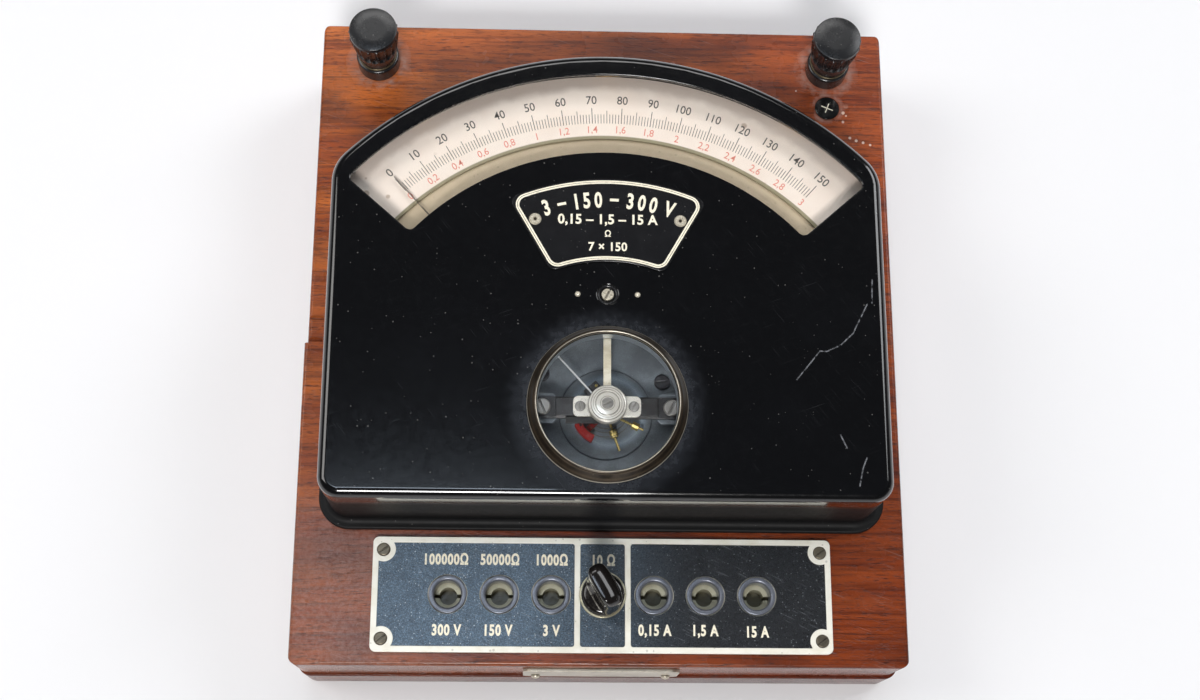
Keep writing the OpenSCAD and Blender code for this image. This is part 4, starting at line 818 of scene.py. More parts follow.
def enamelField():
    # black enamel of the range panel, speckled by fine pitting, with a painted reflection over its left part
    material, tree, shader, here = newMaterial("panelEnamel")
    pits = grains(tree, here, 2600.0, 3.0, 0.75)
    cloud = clouds(tree, here, 150.0, 4.0, 0.6, 0.35, 0.7)
    dust = dotted(tree, here, 1900.0, 0.16, 0.32)
    lines = scratched(tree, here, 0.45, 2500.0, 120.0, 0.66)
    spot = separated(tree, here)
    # painted reflection: a steel-blue speckled sheen on the left field, where the pale specks also show more, as dust
    # and painted glints
    left = between(tree, spot["X"], 0.034, -0.036)
    speckle = clouds(tree, here, 2300.0, 3.0, 0.85, 0.44, 0.66)
    paintedReflection = times(tree, left, plus(tree, times(tree, cloud, 0.06), sloped(tree, speckle, 0.46, 0.17)))
    color = mixed(tree, paintedReflection, (0.008, 0.0085, 0.01, 1), screen(132, 160, 186))
    dustAndGlintsLeft = sloped(tree, left, 0.5, 0.3)
    color = tint(tree, color, dust, dustAndGlintsLeft, screen(206, 214, 220))
    color = tint(tree, color, lines, 0.35, screen(170, 176, 184))
    rough = sloped(tree, pits, 0.2, 0.18)
    setInputs(tree, shader, {
        "Base Color": color, "Roughness": rough, "Normal": bumped(tree, pits, 0.5, 0.00012)})
    return material


turnedLook = {  # radii from the pivot, and (radius, half width) pairs of thin rings
    "paperOuterStainAndShade": (113.2, 116.8),
    "paperInnerEdgeAndShadow": (96.0, 95.5),
    "shieldPaintedHighlight": (11.2, 2.4),
    "shieldHighlightShift": 1.0,      # to the right and to the back
    "shieldGroove": (15.1, 0.24),
    "bezelRubbedHighlights": ((25.66, 0.2), (22.85, 0.26)),
    "bezelFaint": ((24.9, 0.5), (23.75, 0.22)),
    "bezelBore": 22.42,
    "leverTab": 3.0,             # in front of the pivot
    "pointerBlack": (87.2, 88.5),
}


def agedPaper():
    # the dial paper, pinkish cream with foxing, a stained outer edge deepened by painted shade, and a dark inner edge
    # line that is partly painted shadow
    material, tree, shader, here = newMaterial("scalePaper")
    fibre = grains(tree, here, 900.0, 4.0, 0.7)
    cloud = clouds(tree, here, 90.0, 4.0, 0.6, 0.35, 0.75)
    fox = dotted(tree, here, 260.0, 0.2, 0.26)
    big = dotted(tree, here, 95.0, 0.1, 0.16)
    patches = clouds(tree, here, 40.0, 3.0, 0.6, 0.45, 0.65)
    reach = planDistance(tree, here, (0, places["axisY"] * mm, 0))
    wave = times(tree, grains(tree, here, 130.0, 3.0, 0.6), 0.004)
    rim = between(tree, plus(tree, reach, wave), *(r * mm for r in turnedLook["paperOuterStainAndShade"]))
    inner = between(tree, reach, *(r * mm for r in turnedLook["paperInnerEdgeAndShadow"]))
    color = mixed(tree, times(tree, cloud, 0.35), screen(246, 233, 221), screen(234, 214, 199))
    color = mixed(tree, times(tree, times(tree, fox, patches), 0.6), color, screen(150, 120, 88))
    color = tint(tree, color, big, 0.4, screen(176, 140, 96))
    # painted shade with stain: the outer edge darkened where the window's rim shades it
    color = tint(tree, color, rim, 0.45, screen(150, 132, 122))
    # the plate's dark inner edge, with painted shadow beside it
    color = tint(tree, color, inner, 0.85, screen(122, 116, 78))
    setInputs(tree, shader, {
        "Base Color": color, "Roughness": 0.62, "Specular IOR Level": 0.35,
        "Normal": bumped(tree, fibre, 0.15, 0.0001)})
    return material


def windowGlass():
    # clear glass that lets the lamps' light through, with a breath of dust
    material, tree, shader, here = newMaterial("windowGlass")
    dust = grains(tree, here, 60.0, 4.0, 0.6)
    setInputs(tree, shader, {
        "Base Color": (1.0, 1.0, 1.0, 1), "Roughness": between(tree, dust, 0.3, 0.8, 0.0, 0.03),
        "Transmission Weight": 1.0, "IOR": 1.45})
    clear = addNode(tree, "ShaderNodeBsdfTransparent", {"Color": (0.975, 0.975, 0.972, 1)})
    rays = addNode(tree, "ShaderNodeLightPath")
    through = larger(tree, rays.outputs["Is Shadow Ray"], rays.outputs["Is Diffuse Ray"])
    mix = addNode(tree, "ShaderNodeMixShader", {0: through, 1: shader.outputs[0], 2: clear.outputs[0]})
    out = next(n for n in tree.nodes if n.type == "OUTPUT_MATERIAL")
    tree.links.new(mix.outputs[0], out.inputs["Surface"])
    return material


def printedInk(name, color, patchy=0.25):
    material, tree, shader, here = newMaterial(name)
    worn = clouds(tree, here, 1400.0, 3.0, 0.6, 0.35, 0.75)
    paler = tuple(c + (1 - c) * 0.4 for c in color[:3]) + (1,)
    setInputs(tree, shader, {
        "Base Color": mixed(tree, times(tree, worn, patchy), color, paler), "Roughness": 0.6})
    return material


def creamPaint():
    material, tree, shader, here = newMaterial("creamFilling")
    worn = clouds(tree, here, 1600.0, 3.0, 0.65, 0.35, 0.72)
    grime = clouds(tree, here, 600.0, 3.0, 0.6, 0.5, 0.75)
    color = mixed(tree, times(tree, worn, 0.25), screen(248, 241, 220), screen(206, 192, 156))
    color = tint(tree, color, grime, 0.25, screen(92, 84, 66))
    setInputs(tree, shader, {"Base Color": color, "Roughness": 0.42, "Normal": bumped(tree, worn, 0.2, 0.00006)})
    return material


def shieldGrey():
    # blued grey shield plate, cloudy, with a paler ring about the hub that is a painted highlight
    material, tree, shader, here = newMaterial("greyShield")
    cloud = clouds(tree, here, 140.0, 4.0, 0.6, 0.35, 0.7)
    fine = grains(tree, here, 1300.0, 3.0, 0.6)
    shift = turnedLook["shieldHighlightShift"]
    band = ringMarks(tree, here, (shift, places["axisY"] + shift), [turnedLook["shieldPaintedHighlight"]])
    groove = ringMarks(tree, here, (0, places["axisY"]), [turnedLook["shieldGroove"]])
    dust = dotted(tree, here, 1500.0, 0.1, 0.25)
    color = mixed(tree, cloud, screen(98, 105, 111), screen(122, 131, 138))
    # painted highlight: the pale ring
    color = tint(tree, color, band, 0.5, screen(186, 208, 226))
    grit = clouds(tree, here, 3200.0, 2.0, 0.8, 0.4, 0.7)
    color = tint(tree, color, grit, 0.45, screen(48, 53, 60))
    color = tint(tree, color, groove, 0.9, screen(16, 17, 20))
    color = tint(tree, color, dust, 0.3, screen(190, 196, 202))
    setInputs(tree, shader, {
        "Base Color": color, "Metallic": 0.1, "Roughness": sloped(tree, fine, 0.2, 0.36),
        "Normal": bumped(tree, fine, 0.12, 0.00008)})
    return material


def bezelMetal():
    # browned brass; its foot line and the bead at the glass are rubbed bright and carry painted highlight lines, and
    # two fainter rings between them are painted highlights too; the bore is bare grey metal
    material, tree, shader, here = newMaterial("bezelBrass")
    middle = (0, places["axisY"])
    cloud = clouds(tree, here, 220.0, 4.0, 0.6, 0.35, 0.7)
    fine = grains(tree, here, 2600.0, 3.0, 0.6)
    color = mixed(tree, cloud, screen(62, 52, 41), screen(40, 34, 28))
    bright = ringMarks(tree, here, middle, turnedLook["bezelRubbedHighlights"])
    faint = ringMarks(tree, here, middle, turnedLook["bezelFaint"])
    color = tint(tree, color, faint, 0.3, screen(120, 104, 82))
    # rubbed edges with painted highlight lines
    color = tint(tree, color, bright, 0.9, screen(222, 214, 196))
    reach = planDistance(tree, here, (0, places["axisY"] * mm, 0))
    bore = calc(tree, "LESS_THAN", reach, turnedLook["bezelBore"] * mm)
    color = mixed(tree, bore, color, screen(168, 176, 182))
    nicks = dotted(tree, here, 420.0, 0.12, 0.25)
    color = tint(tree, color, nicks, 0.5, screen(190, 176, 146))
    setInputs(tree, shader, {
        "Base Color": color, "Metallic": 0.6,
        "Roughness": sloped(tree, fine, 0.16, 0.22),
        "Normal": bumped(tree, fine, 0.04, 0.00005)})
    return material


def leverMetal():
    # whitish adjusting strip; its side tab, low beside the hub under the bridge, is painted dark as painted shade
    material, tree, shader, here = newMaterial("leverWhite")
    spot = separated(tree, here)
    fine = grains(tree, stretched(tree, here, (1, 0.25, 1)), 2200.0, 3.0, 0.6)
    cloud = between(tree, grains(tree, stretched(tree, here, (0.4, 1, 1)), 260.0, 3.0, 0.6), 0.35, 0.7)
    tab = calc(tree, "LESS_THAN", spot["Y"], (places["axisY"] - turnedLook["leverTab"]) * mm)
    shadedCorners = cornerShadeAndDirt(tree, 0.0015)
    color = mixed(tree, cloud, screen(222, 216, 198), screen(196, 184, 156))
    # painted shade with dirt in the strip's corners
    color = tint(tree, color, shadedCorners, 0.5, screen(96, 86, 66))
    # painted shade: the tab under the bridge is painted near black
    color = mixed(tree, tab, color, screen(42, 42, 42))
    setInputs(tree, shader, {
        "Base Color": color, "Metallic": 0.3, "Roughness": sloped(tree, fine, 0.2, 0.28),
        "Normal": bumped(tree, fine, 0.05, 0.00005)})
    return material


def pointerMetal():
    # bright tube whose knife edge, over the mirror and the paper, is blackened
    material, tree, shader, here = newMaterial("pointerAluminium")
    reach = planDistance(tree, here, (0, places["axisY"] * mm, 0))
    blackened = between(tree, reach, *(r * mm for r in turnedLook["pointerBlack"]))
    fine = grains(tree, here, 1800.0, 3.0, 0.6)
    color = mixed(tree, fine, screen(206, 208, 212), screen(232, 232, 230))
    setInputs(tree, shader, {
        "Base Color": mixed(tree, blackened, color, screen(88, 78, 68)),
        "Metallic": times(tree, calc(tree, "SUBTRACT", 1.0, blackened), 0.5),
        "Roughness": sloped(tree, fine, 0.15, 0.24)})
    return material


print("materials")
paints = {
    "caseWood": varnishedWood("caseVarnish", woodLook, topBoard=True),
    "plinthWood": varnishedWood("plinthVarnish", {
        **woodLook, "light": screen(150, 76, 40), "middle": screen(112, 50, 28)}, darker=0.1),
    "bottomWood": varnishedWood("bottomBoard", {
        **woodLook, "light": screen(186, 140, 96), "middle": screen(160, 112, 72),
        "dark": screen(108, 72, 46)}, pores=0.5, crossGrain=False),
    "bobbinWood": varnishedWood("bobbinWood", {
        **woodLook, "light": screen(196, 160, 112), "middle": screen(176, 138, 92),
        "dark": screen(120, 86, 56)}, pores=0.4, crossGrain=False),
    "lacquer": lacqueredSheet(),
    "enamel": enamelField(),
    "paper": agedPaper(),
    "glass": windowGlass(),
    "cream": creamPaint(),
    "shield": shieldGrey(),
    "blackInk": printedInk("blackInk", screen(66, 60, 52)),
    "redInk": printedInk("redInk", screen(222, 130, 110), 0.35),
    # the scale mirror is painted a dull beige, the colour of what it reflects: a painted reflection
    "mirror": simpleMetal("scaleMirror", (206, 188, 160), 0.34, 0.25, dull=0.25, tarnish=(176, 160, 130),
        grain=300.0, bump=0.02, dirt=0.2, grime=0.5),
    "steel": simpleMetal("screwSteel", (150, 146, 138), 0.34, 0.8, dull=0.5, tarnish=(70, 62, 54), wear=0.4),
    "darkSteel": simpleMetal("panelScrewSteel", (120, 112, 96), 0.36, 0.7, dull=0.6, tarnish=(52, 44, 36), wear=0.6),
    "keeper": simpleMetal("keeperNickel", (196, 188, 172), 0.33, 0.75, dull=0.35, tarnish=(124, 110, 88),
        stretch=(0.2, 1, 1), wear=0.3),
    "clipBrass": simpleMetal("clipBrass", (176, 142, 80), 0.36, 0.85, dull=0.4, tarnish=(98, 72, 38)),
    "bezel": bezelMetal(),
    "rivet": simpleMetal("brightRivets", (226, 218, 198), 0.26, 0.45, dull=0.25, tarnish=(140, 124, 98), grime=0.9),
    "brass": simpleMetal("movementBrass", (184, 166, 104), 0.3, 0.7, dull=0.35, tarnish=(140, 112, 62), wear=0.3),
    "magnet": blackPlastic("magnetRed", (0.24, 0.035, 0.028, 1), 0.4, haze=0.2, hazeColor=(0.12, 0.02, 0.02, 1)),
    "iron": simpleMetal("softIron", (112, 114, 116), 0.42, 0.7, dull=0.4),
    "blackMetal": blackPlastic("bridgeBlack", (0.011, 0.01, 0.01, 1), 0.3, haze=0.25, wear=0.35),
    "nickel": simpleMetal("movementNickel", (226, 222, 212), 0.3, 0.55, dull=0.2, tarnish=(176, 168, 150), wear=0.2,
        dirt=0.3, grime=0.9),
    "hubNickel": simpleMetal("hubNickel", (232, 229, 220), 0.2, 0.45, dull=0.25, tarnish=(168, 158, 140), wear=0.5,
        dirt=0.2, rings=((5.3, 0.26), (4.55, 0.16), (3.75, 0.26), (6.1, 0.14), (2.3, 0.16))),
    "bridgeScrew": simpleMetal("bridgeScrewSteel", (150, 148, 144), 0.34, 0.6, dull=0.4, tarnish=(84, 80, 74),
        wear=0.3, grime=0.95),
    "shieldScrew": simpleMetal("shieldScrewSteel", (76, 76, 80), 0.36, 0.6, dull=0.4, wear=0.5, grime=0.95),
    "redBlock": blackPlastic("redCarrier", screen(150, 40, 36), 0.16, haze=0.4, hazeColor=screen(92, 18, 16),
        wear=0.1),
    "bushBlack": blackPlastic("insulationBlack", (0.009, 0.009, 0.01, 1), 0.2, haze=0.12, cloudRough=0.1),
    "lever": leverMetal(),
    "spring": simpleMetal("springBronze", (96, 88, 74), 0.3, 0.8, dull=0.3),
    "pointer": pointerMetal(),
    "copper": simpleMetal("coilCopper", (150, 78, 48), 0.4, 0.8),
    "panelNickel": simpleMetal("panelNickel", (243, 240, 228), 0.36, 0.12, dull=0.3, tarnish=(208, 199, 168),
        grain=1400.0, wear=0.2, bump=0.06, dirt=0.35, grime=0.6),
    "socket": simpleMetal("socketMetal", (118, 122, 132), 0.3, 0.5, dull=0.4, tarnish=(78, 78, 82), wear=0.5),
    "contact": simpleMetal("contactBrass", (184, 180, 156), 0.42, 0.3, dull=0.4, tarnish=(142, 138, 112), wear=0.2,
        grime=0.4),
    "plugBrass": simpleMetal("plugBrass", (206, 196, 166), 0.3, 0.75, dull=0.3, tarnish=(128, 112, 78)),
    # the grip's strong pale worn edges are partly wear and partly a painted highlight along its ridge
    "grip": blackPlastic("gripBlack", (0.008, 0.0065, 0.006, 1), 0.1, haze=0.03, wear=0.9, cloudRough=0.05,
        wearColor=(0.5, 0.48, 0.42, 1), dusty=0.2),
    "postBrass": simpleMetal("postBrass", (190, 164, 108), 0.32, 0.85, dull=0.4),
    "washer": simpleMetal("washerMetal", (120, 108, 84), 0.34, 0.7, dull=0.5, wear=0.3),
    # the knob's strong worn edges are partly wear and partly a painted highlight on the rim line at its foot
    "knob": blackPlastic("knobBlack", (0.0105, 0.011, 0.0125, 1), 0.24, haze=0.04, wear=0.8,
        hazeColor=(0.04, 0.045, 0.05, 1), grain=1800.0, bump=0.1, cloudRough=0.08),
    "marker": blackPlastic("markerBlack", (0.006, 0.006, 0.006, 1), 0.1, haze=0.05, wear=0.3),
    "plate": blackPlastic("plateBlack", (0.006, 0.006, 0.007, 1), 0.2, haze=0.01, wear=0.3, cloudRough=0.02,
        dusty=0.2),
}


# ---- wooden case

print("case")
dressNode("case_top", paints["caseWood"], angle=40)
dressNode("case_sides", paints["caseWood"], edge=0.25, angle=40)
dressNode("plinth", paints["plinthWood"], edge=0.4, angle=40)
dressNode("bottom_board", paints["bottomWood"], edge=0.3)
dressNode("bottom_screws", paints["steel"], edge=0.1)
dressNode("keeper_plate", paints["keeper"], edge=0.15)
dressNode("keeper_screws", paints["keeper"], edge=0.1)
dressNode("cover_screws", paints["steel"])

# ---- black cover

cover = {
    "halfWidth": 91.0,
    "frontY": -30.6,         # from the pivot
    "arcRadius": 122.0,
    "shoulderRadius": 14.0,
    "shoulderY": 75.73,
    "cornerRadius": 7.0,
    "edgeRadius": 3.0,
    "lip": 0.7,              # round edge of the flange
    "fillet": 2.1,
    "topLap": 0.6,           # flat width of the wall's part beside its rolled edge
    "rivetHole": 0.65,
    "eyeletHole": 1.15,
    "lug": (9, 9, 8),
    "sheet": 1.6,
    "flange": 3.6,
    "flangeThick": 2.0,
    "height": 38.7,
    "window": (86.2, 114.4, 48.4, 2.2),
    "bezelHole": 23.45,
    "adjusterAt": 36.6,
    "adjusterHole": 3.35,
    "rivetX": 9.7,
    "eyeletAt": 66.4,
    "eyeletTurn": 21.0,
    "lugX": 84.9,
    "lugY": (-19.6, 58.0),
}


def coverArcEnd():
    # bearing at which the back arc meets the shoulder circle
    return math.degrees(math.atan2(cover["halfWidth"] - cover["shoulderRadius"], cover["shoulderY"]))


def roundHole(middle, radius, steps):
    return arcPoints(middle, radius, 0, 360 - 360 / steps, steps - 1)


def coverOutline(grow):
    shoulder = (cover["halfWidth"] - cover["shoulderRadius"], cover["shoulderY"])
    corner = (cover["halfWidth"] - cover["cornerRadius"], cover["cornerRadius"] + cover["frontY"])
    end = coverArcEnd()
    right = arcPoints((0, 0), cover["arcRadius"] + grow, 0.6, end, 64)
    right += arcPoints(shoulder, cover["shoulderRadius"] + grow, end + 3, 90, 14)
    right += arcPoints(corner, cover["cornerRadius"] + grow, 90, 180, 14)
    return right + mirrored(right)


def coverSection():
    # section of the wall, x outwards from its outer face, z up; it ends on the flat top, inside and outside
    c = cover
    lip, fillet, lap = c["lip"], c["fillet"], c["topLap"]
    roll = (-c["edgeRadius"], c["height"] - c["edgeRadius"])
    section = [(-c["sheet"], 0), (c["flange"], 0)]
    section += arcPoints((c["flange"] - lip, c["flangeThick"] - lip), lip, 90, 0, 5)
    section += arcPoints((fillet, c["flangeThick"] + fillet), fillet, 180, 270, 5)
    section += arcPoints(roll, c["edgeRadius"], 90, 0, 14)
    joint = len(section)
    section += [(-c["edgeRadius"] - lap, c["height"]), (-c["edgeRadius"] - lap, c["height"] - c["sheet"])]
    section += arcPoints(roll, c["edgeRadius"] - c["sheet"], 0, 90, 8)
    return section, joint


def coverWallMesh():
    section, joint = coverSection()
    loops = [coverOutline(x) for x, _ in section]
    count = len(loops[0])
    points, faces = [], []
    for loop, (_, z) in zip(loops, section):
        points += [(x, y + places["axisY"], z + places["boardTop"]) for x, y in loop]
    for j in range(len(section)):
        if j != joint:   # open there, where the flat top joins on
            faces += ringFaces(count, j * count, (j + 1) % len(section) * count)
    return rawMesh("coverWall", points, faces)


def topPlateTree():
    # flat plate from an outline with holes: filled, given its thickness, moved up
    tree, identifiers = newGeometryTree("filledPlate", [
        ("Plan", "NodeSocketObject"), ("Thickness", "NodeSocketFloat"), ("Underside", "NodeSocketVector"),
        ("Finish", "NodeSocketMaterial")])
    source = addNode(tree, "NodeGroupInput").outputs
    plan = addNode(tree, "GeometryNodeObjectInfo", {"Object": source["Plan"]})
    filled = addNode(tree, "GeometryNodeFillCurve", {"Curve": plan.outputs["Geometry"]}, mode="TRIANGLES")
    thick = addNode(tree, "GeometryNodeExtrudeMesh", {
        "Mesh": filled.outputs["Mesh"], "Offset Scale": source["Thickness"], "Individual": False}, mode="FACES")
    back = addNode(tree, "GeometryNodeFlipFaces", {"Mesh": filled.outputs["Mesh"]})
    both = addNode(tree, "GeometryNodeJoinGeometry")
    tree.links.new(thick.outputs["Mesh"], both.inputs[0])
    tree.links.new(back.outputs["Mesh"], both.inputs[0])
    merged = addNode(tree, "GeometryNodeMergeByDistance", {"Geometry": both.outputs[0], "Distance": mergeDistance})
    closeTree(tree, merged.outputs["Geometry"], source, "Underside")
    return tree, identifiers


filledPlate, plateInputs = topPlateTree()


def plateMesh(name, outlines, underside, thickness, material):
    plan = linkedObject(name + "Plan", planCurve(name + "Plan", outlines))
    made = runTree(name, filledPlate, plateInputs, {
        "Plan": plan, "Thickness": thickness * mm,
        "Underside": (0.0, places["axisY"] * mm, underside * mm), "Finish": material})
    data = plan.data
    bpy.data.objects.remove(plan)
    bpy.data.curves.remove(data)
    cleanMesh(made)
    return made


def boxMesh(name, centre, size):
    bm = bmesh.new()
    bmesh.ops.create_cube(bm, size=1.0)
    mesh = bpy.data.meshes.new(name)
    bm.to_mesh(mesh)
    bm.free()
    mesh.transform(Matrix.Translation([v * mm for v in centre]) @ Matrix.Diagonal([v * mm for v in size] + [1]))
    return mesh


print("cover")
topInset = -cover["edgeRadius"] - cover["topLap"]
coverHoles = [
    sectorPoints(*cover["window"]),
    roundHole((0, 0), cover["bezelHole"], 120),
    roundHole((0, cover["adjusterAt"]), cover["adjusterHole"], 36),
]
for side in (-1, 1):
    coverHoles.append(roundHole((side * cover["rivetX"], cover["adjusterAt"]), cover["rivetHole"], 12))
    coverHoles.append(roundHole(atBearing(side * cover["eyeletTurn"], cover["eyeletAt"]), cover["eyeletHole"], 18))
plate = plateMesh("coverPlate", [coverOutline(topInset)] + coverHoles,
                  places["boardTop"] + cover["height"] - cover["sheet"], cover["sheet"], paints["lacquer"])
coverMesh = joinMeshes("coverShell", [coverWallMesh(), plate])
bm = bmesh.new()
bm.from_mesh(coverMesh)
bmesh.ops.remove_doubles(bm, verts=bm.verts, dist=2 * mergeDistance)
bm.normal_update()
inner = [f for f in bm.faces if abs(f.normal.z) < 0.1 and sum(len(e.link_faces) > 2 for e in f.edges) >= 1]
bmesh.ops.delete(bm, geom=inner, context="FACES_ONLY")
bmesh.ops.delete(bm, geom=[e for e in bm.edges if not e.link_faces], context="EDGES")
bmesh.ops.recalc_face_normals(bm, faces=bm.faces)
bmesh.ops.dissolve_limit(bm, angle_limit=math.radians(0.2), verts=bm.verts, edges=bm.edges)
openEdges = sum(1 for e in bm.edges if len(e.link_faces) != 2)
print("cover inner faces", len(inner), "edges not closed", openEdges)
bm.to_mesh(coverMesh)
bm.free()
lugs = []
for side in (-1, 1):
    for y in cover["lugY"]:
        spot = (side * cover["lugX"], y + places["axisY"], places["boardTop"] + cover["lug"][2] / 2)
        lugs.append(boxMesh("lug", spot, cover["lug"]))
coverMesh = joinMeshes("coverShell", [coverMesh] + lugs)
smoothMesh(coverMesh, 40)
coverShell = linkedObject("coverShell", coverMesh)
softenEdges(coverShell, 0.35, 3, 55)
weightNormals(coverShell)
finishPiece(coverShell, "case", paints["lacquer"], ["cover"])

# ---- windows

print("windows")
bezel = {
    "spigot": 23.4,
    "bore": 22.3,
    "mouth": 22.5,
    "spigotDeep": 2.5,
    "grooveRadius": 23.25,
    "seat": 1.9,            # glass seat above the cover
    "grooveTop": 3.85,
    "outside": [            # radius and height above the cover: foot, hollow flank, the bead that holds the glass
        (25.6, 0), (25.7, 0.1), (25.7, 0.55), (25.45, 0.85), (25.2, 1.3), (24.82, 1.9), (24.45, 2.6), (24.12, 3.3),
        (23.86, 3.85), (23.72, 4.1), (23.5, 4.4), (23.2, 4.57), (22.95, 4.6), (22.7, 4.52), (22.54, 4.32),
        (22.5, 4.1)],
}


def bezelProfile():
    b, base = bezel, places["coverTop"]
    under = base - b["spigotDeep"]
    profile = [(b["bore"], under), (b["spigot"], under), (b["spigot"], base)]
    profile += [(radius, base + height) for radius, height in b["outside"]]
    profile += [(b["mouth"], base + b["grooveTop"]), (b["grooveRadius"], base + b["grooveTop"])]
    profile += [(b["grooveRadius"], base + b["seat"]), (b["bore"], base + b["seat"])]
    return profile


axisPlan = (0, places["axisY"])
bezelMesh = latheMesh("bezelLook", bezelProfile(), 144, axisPlan)
smoothMesh(bezelMesh, 38)
bezelPiece = linkedObject("bezelLook", bezelMesh)
weightNormals(bezelPiece)
finishPiece(bezelPiece, "case", paints["bezel"], ["bezel"])
dressNode("round_glass", paints["glass"], edge=0.2)
dressNode("arc_glass", paints["glass"], edge=0.15)
dressNode("glass_clips", paints["clipBrass"])
dressNode("bezel_ring", paints["clipBrass"])

# ---- dial

print("dial")
dial = {
    "divisions": 150,
    "halfTurn": 41.9,
    "tickFoot": 100.3,
    "tickShort": 3.3,
    "tickFive": 4.7,
    "tickTen": 5.6,
    "tickWidth": 0.2,
    "inkThick": 0.04,
    "outerFigures": 108.9,
    "innerFigures": 97.9,
    "outerHeight": 3.0,
    "innerHeight": 2.55,
    "step": 10,
    "innerStep": 0.2,
}


def marksTree():
    # radial marks over an arc: every tenth longest, every fifth longer
    tree, identifiers = newGeometryTree("scaleMarks", [
        ("Divisions", "NodeSocketInt"), ("Half Turn", "NodeSocketFloat"), ("Foot", "NodeSocketFloat"),
        ("Short", "NodeSocketFloat"), ("Five", "NodeSocketFloat"), ("Ten", "NodeSocketFloat"),
        ("Width", "NodeSocketFloat"), ("Thickness", "NodeSocketFloat"), ("Middle", "NodeSocketVector"),
        ("Finish", "NodeSocketMaterial")])
    source = addNode(tree, "NodeGroupInput").outputs
    count = plus(tree, source["Divisions"], 1.0)
    line = addNode(tree, "GeometryNodeMeshLine", {"Count": count})
    index = addNode(tree, "GeometryNodeInputIndex").outputs["Index"]
    share = calc(tree, "DIVIDE", index, source["Divisions"])
    turn = times(tree, calc(tree, "SUBTRACT", times(tree, share, 2.0), 1.0), source["Half Turn"])
    isTen = calc(tree, "LESS_THAN", calc(tree, "MODULO", index, 10.0), 0.5)
    isFive = calc(tree, "LESS_THAN", calc(tree, "MODULO", index, 5.0), 0.5)
    length = addNode(tree, "GeometryNodeSwitch", {
        "Switch": isFive, "False": source["Short"], "True": source["Five"]}, input_type="FLOAT").outputs["Output"]
    length = addNode(tree, "GeometryNodeSwitch", {
        "Switch": isTen, "False": length, "True": source["Ten"]}, input_type="FLOAT").outputs["Output"]
    middle = plus(tree, source["Foot"], times(tree, length, 0.5))
    spot = addNode(tree, "ShaderNodeCombineXYZ", {
        "X": times(tree, middle, calc(tree, "SINE", turn)),
        "Y": times(tree, middle, calc(tree, "COSINE", turn))})
    spread = addNode(tree, "GeometryNodeSetPosition", {
        "Geometry": line.outputs["Mesh"], "Position": spot.outputs["Vector"]})
    mark = addNode(tree, "GeometryNodeMeshCube", {"Size": (1, 1, 1)})
    heavier = sloped(tree, isTen, 0.25, 1.0)
    size = addNode(tree, "ShaderNodeCombineXYZ", {
        "X": times(tree, source["Width"], heavier), "Y": length, "Z": source["Thickness"]})
    tilt = addNode(tree, "ShaderNodeCombineXYZ", {"Z": times(tree, turn, -1.0)})
    way = addNode(tree, "FunctionNodeEulerToRotation", {"Euler": tilt.outputs["Vector"]})
    placed = addNode(tree, "GeometryNodeInstanceOnPoints", {
        "Points": spread.outputs["Geometry"], "Instance": mark.outputs["Mesh"],
        "Rotation": way.outputs["Rotation"], "Scale": size.outputs["Vector"]})
    closeTree(tree, placed.outputs["Instances"], source, "Middle")
    return tree, identifiers


def dialSpot(bearing, radius):
    x, y = atBearing(bearing, radius)
    return x, y + places["axisY"]


scaleMarks, marksInputs = marksTree()
marks = runTree("scaleTicks", scaleMarks, marksInputs, {
    "Divisions": dial["divisions"], "Half Turn": math.radians(dial["halfTurn"]), "Foot": dial["tickFoot"] * mm,
    "Short": dial["tickShort"] * mm, "Five": dial["tickFive"] * mm, "Ten": dial["tickTen"] * mm,
    "Width": dial["tickWidth"] * mm, "Thickness": dial["inkThick"] * mm,
    "Middle": (0.0, places["axisY"] * mm, (places["paperTop"] + dial["inkThick"] / 2) * mm),
    "Finish": paints["blackInk"]})
finishPiece(linkedObject("scaleTicks", marks), "case", paints["blackInk"])

outerFigures, innerFigures = [], []
for i in range(dial["divisions"] // dial["step"] + 1):
    bearing = -dial["halfTurn"] + 2 * dial["halfTurn"] * i * dial["step"] / dial["divisions"]
    outerFigures.append(textMesh(
        str(i * dial["step"]), dial["outerHeight"], dialSpot(bearing, dial["outerFigures"]), places["paperTop"],
        bearing, 0.9, 0.02, dial["inkThick"]))
    label = f"{i * dial['innerStep']:.1f}".replace(".", ",").replace(",0", "") or "0"
    innerFigures.append(textMesh(
        label, dial["innerHeight"], dialSpot(bearing, dial["innerFigures"]), places["paperTop"],
        bearing, 0.9, 0.01, dial["inkThick"]))
finishPiece(linkedObject("scaleFiguresOuter", joinMeshes("scaleFiguresOuter", outerFigures)),
            "case", paints["blackInk"])
finishPiece(linkedObject("scaleFiguresInner", joinMeshes("scaleFiguresInner", innerFigures)),
            "case", paints["redInk"])
dressNode("scale_plate", paints["paper"], edge=0.12)
dressNode("mirror_strip", paints["mirror"], edge=0.12)
paintNode("scale_carrier", paints["clipBrass"])
paintNode("scale_pillars", paints["brass"])

# ---- name plate and zero adjuster

print("name plate")
namePlate = {
    "r1": 47.6,
    "r2": 76.5,
    "half": 29.8,
    "apex": 12.0,
    "borderCorner": 4.4,
    "borderLines": ((0.65, 1.12), (1.26, 1.82)),   # how far inside the edge each painted line runs
    "paint": 0.05,
    "top": 85.4,
}


def insetSector(inset):
    # the plate's outline moved inwards by inset
    n = namePlate
    slide = inset / math.sin(math.radians(n["half"]))
    return sectorPoints(n["r1"] + inset, n["r2"] - inset, n["half"], n["borderCorner"] - inset, n["apex"] + slide)


def onPlan(points):
    return [(x, y + places["axisY"]) for x, y in points]


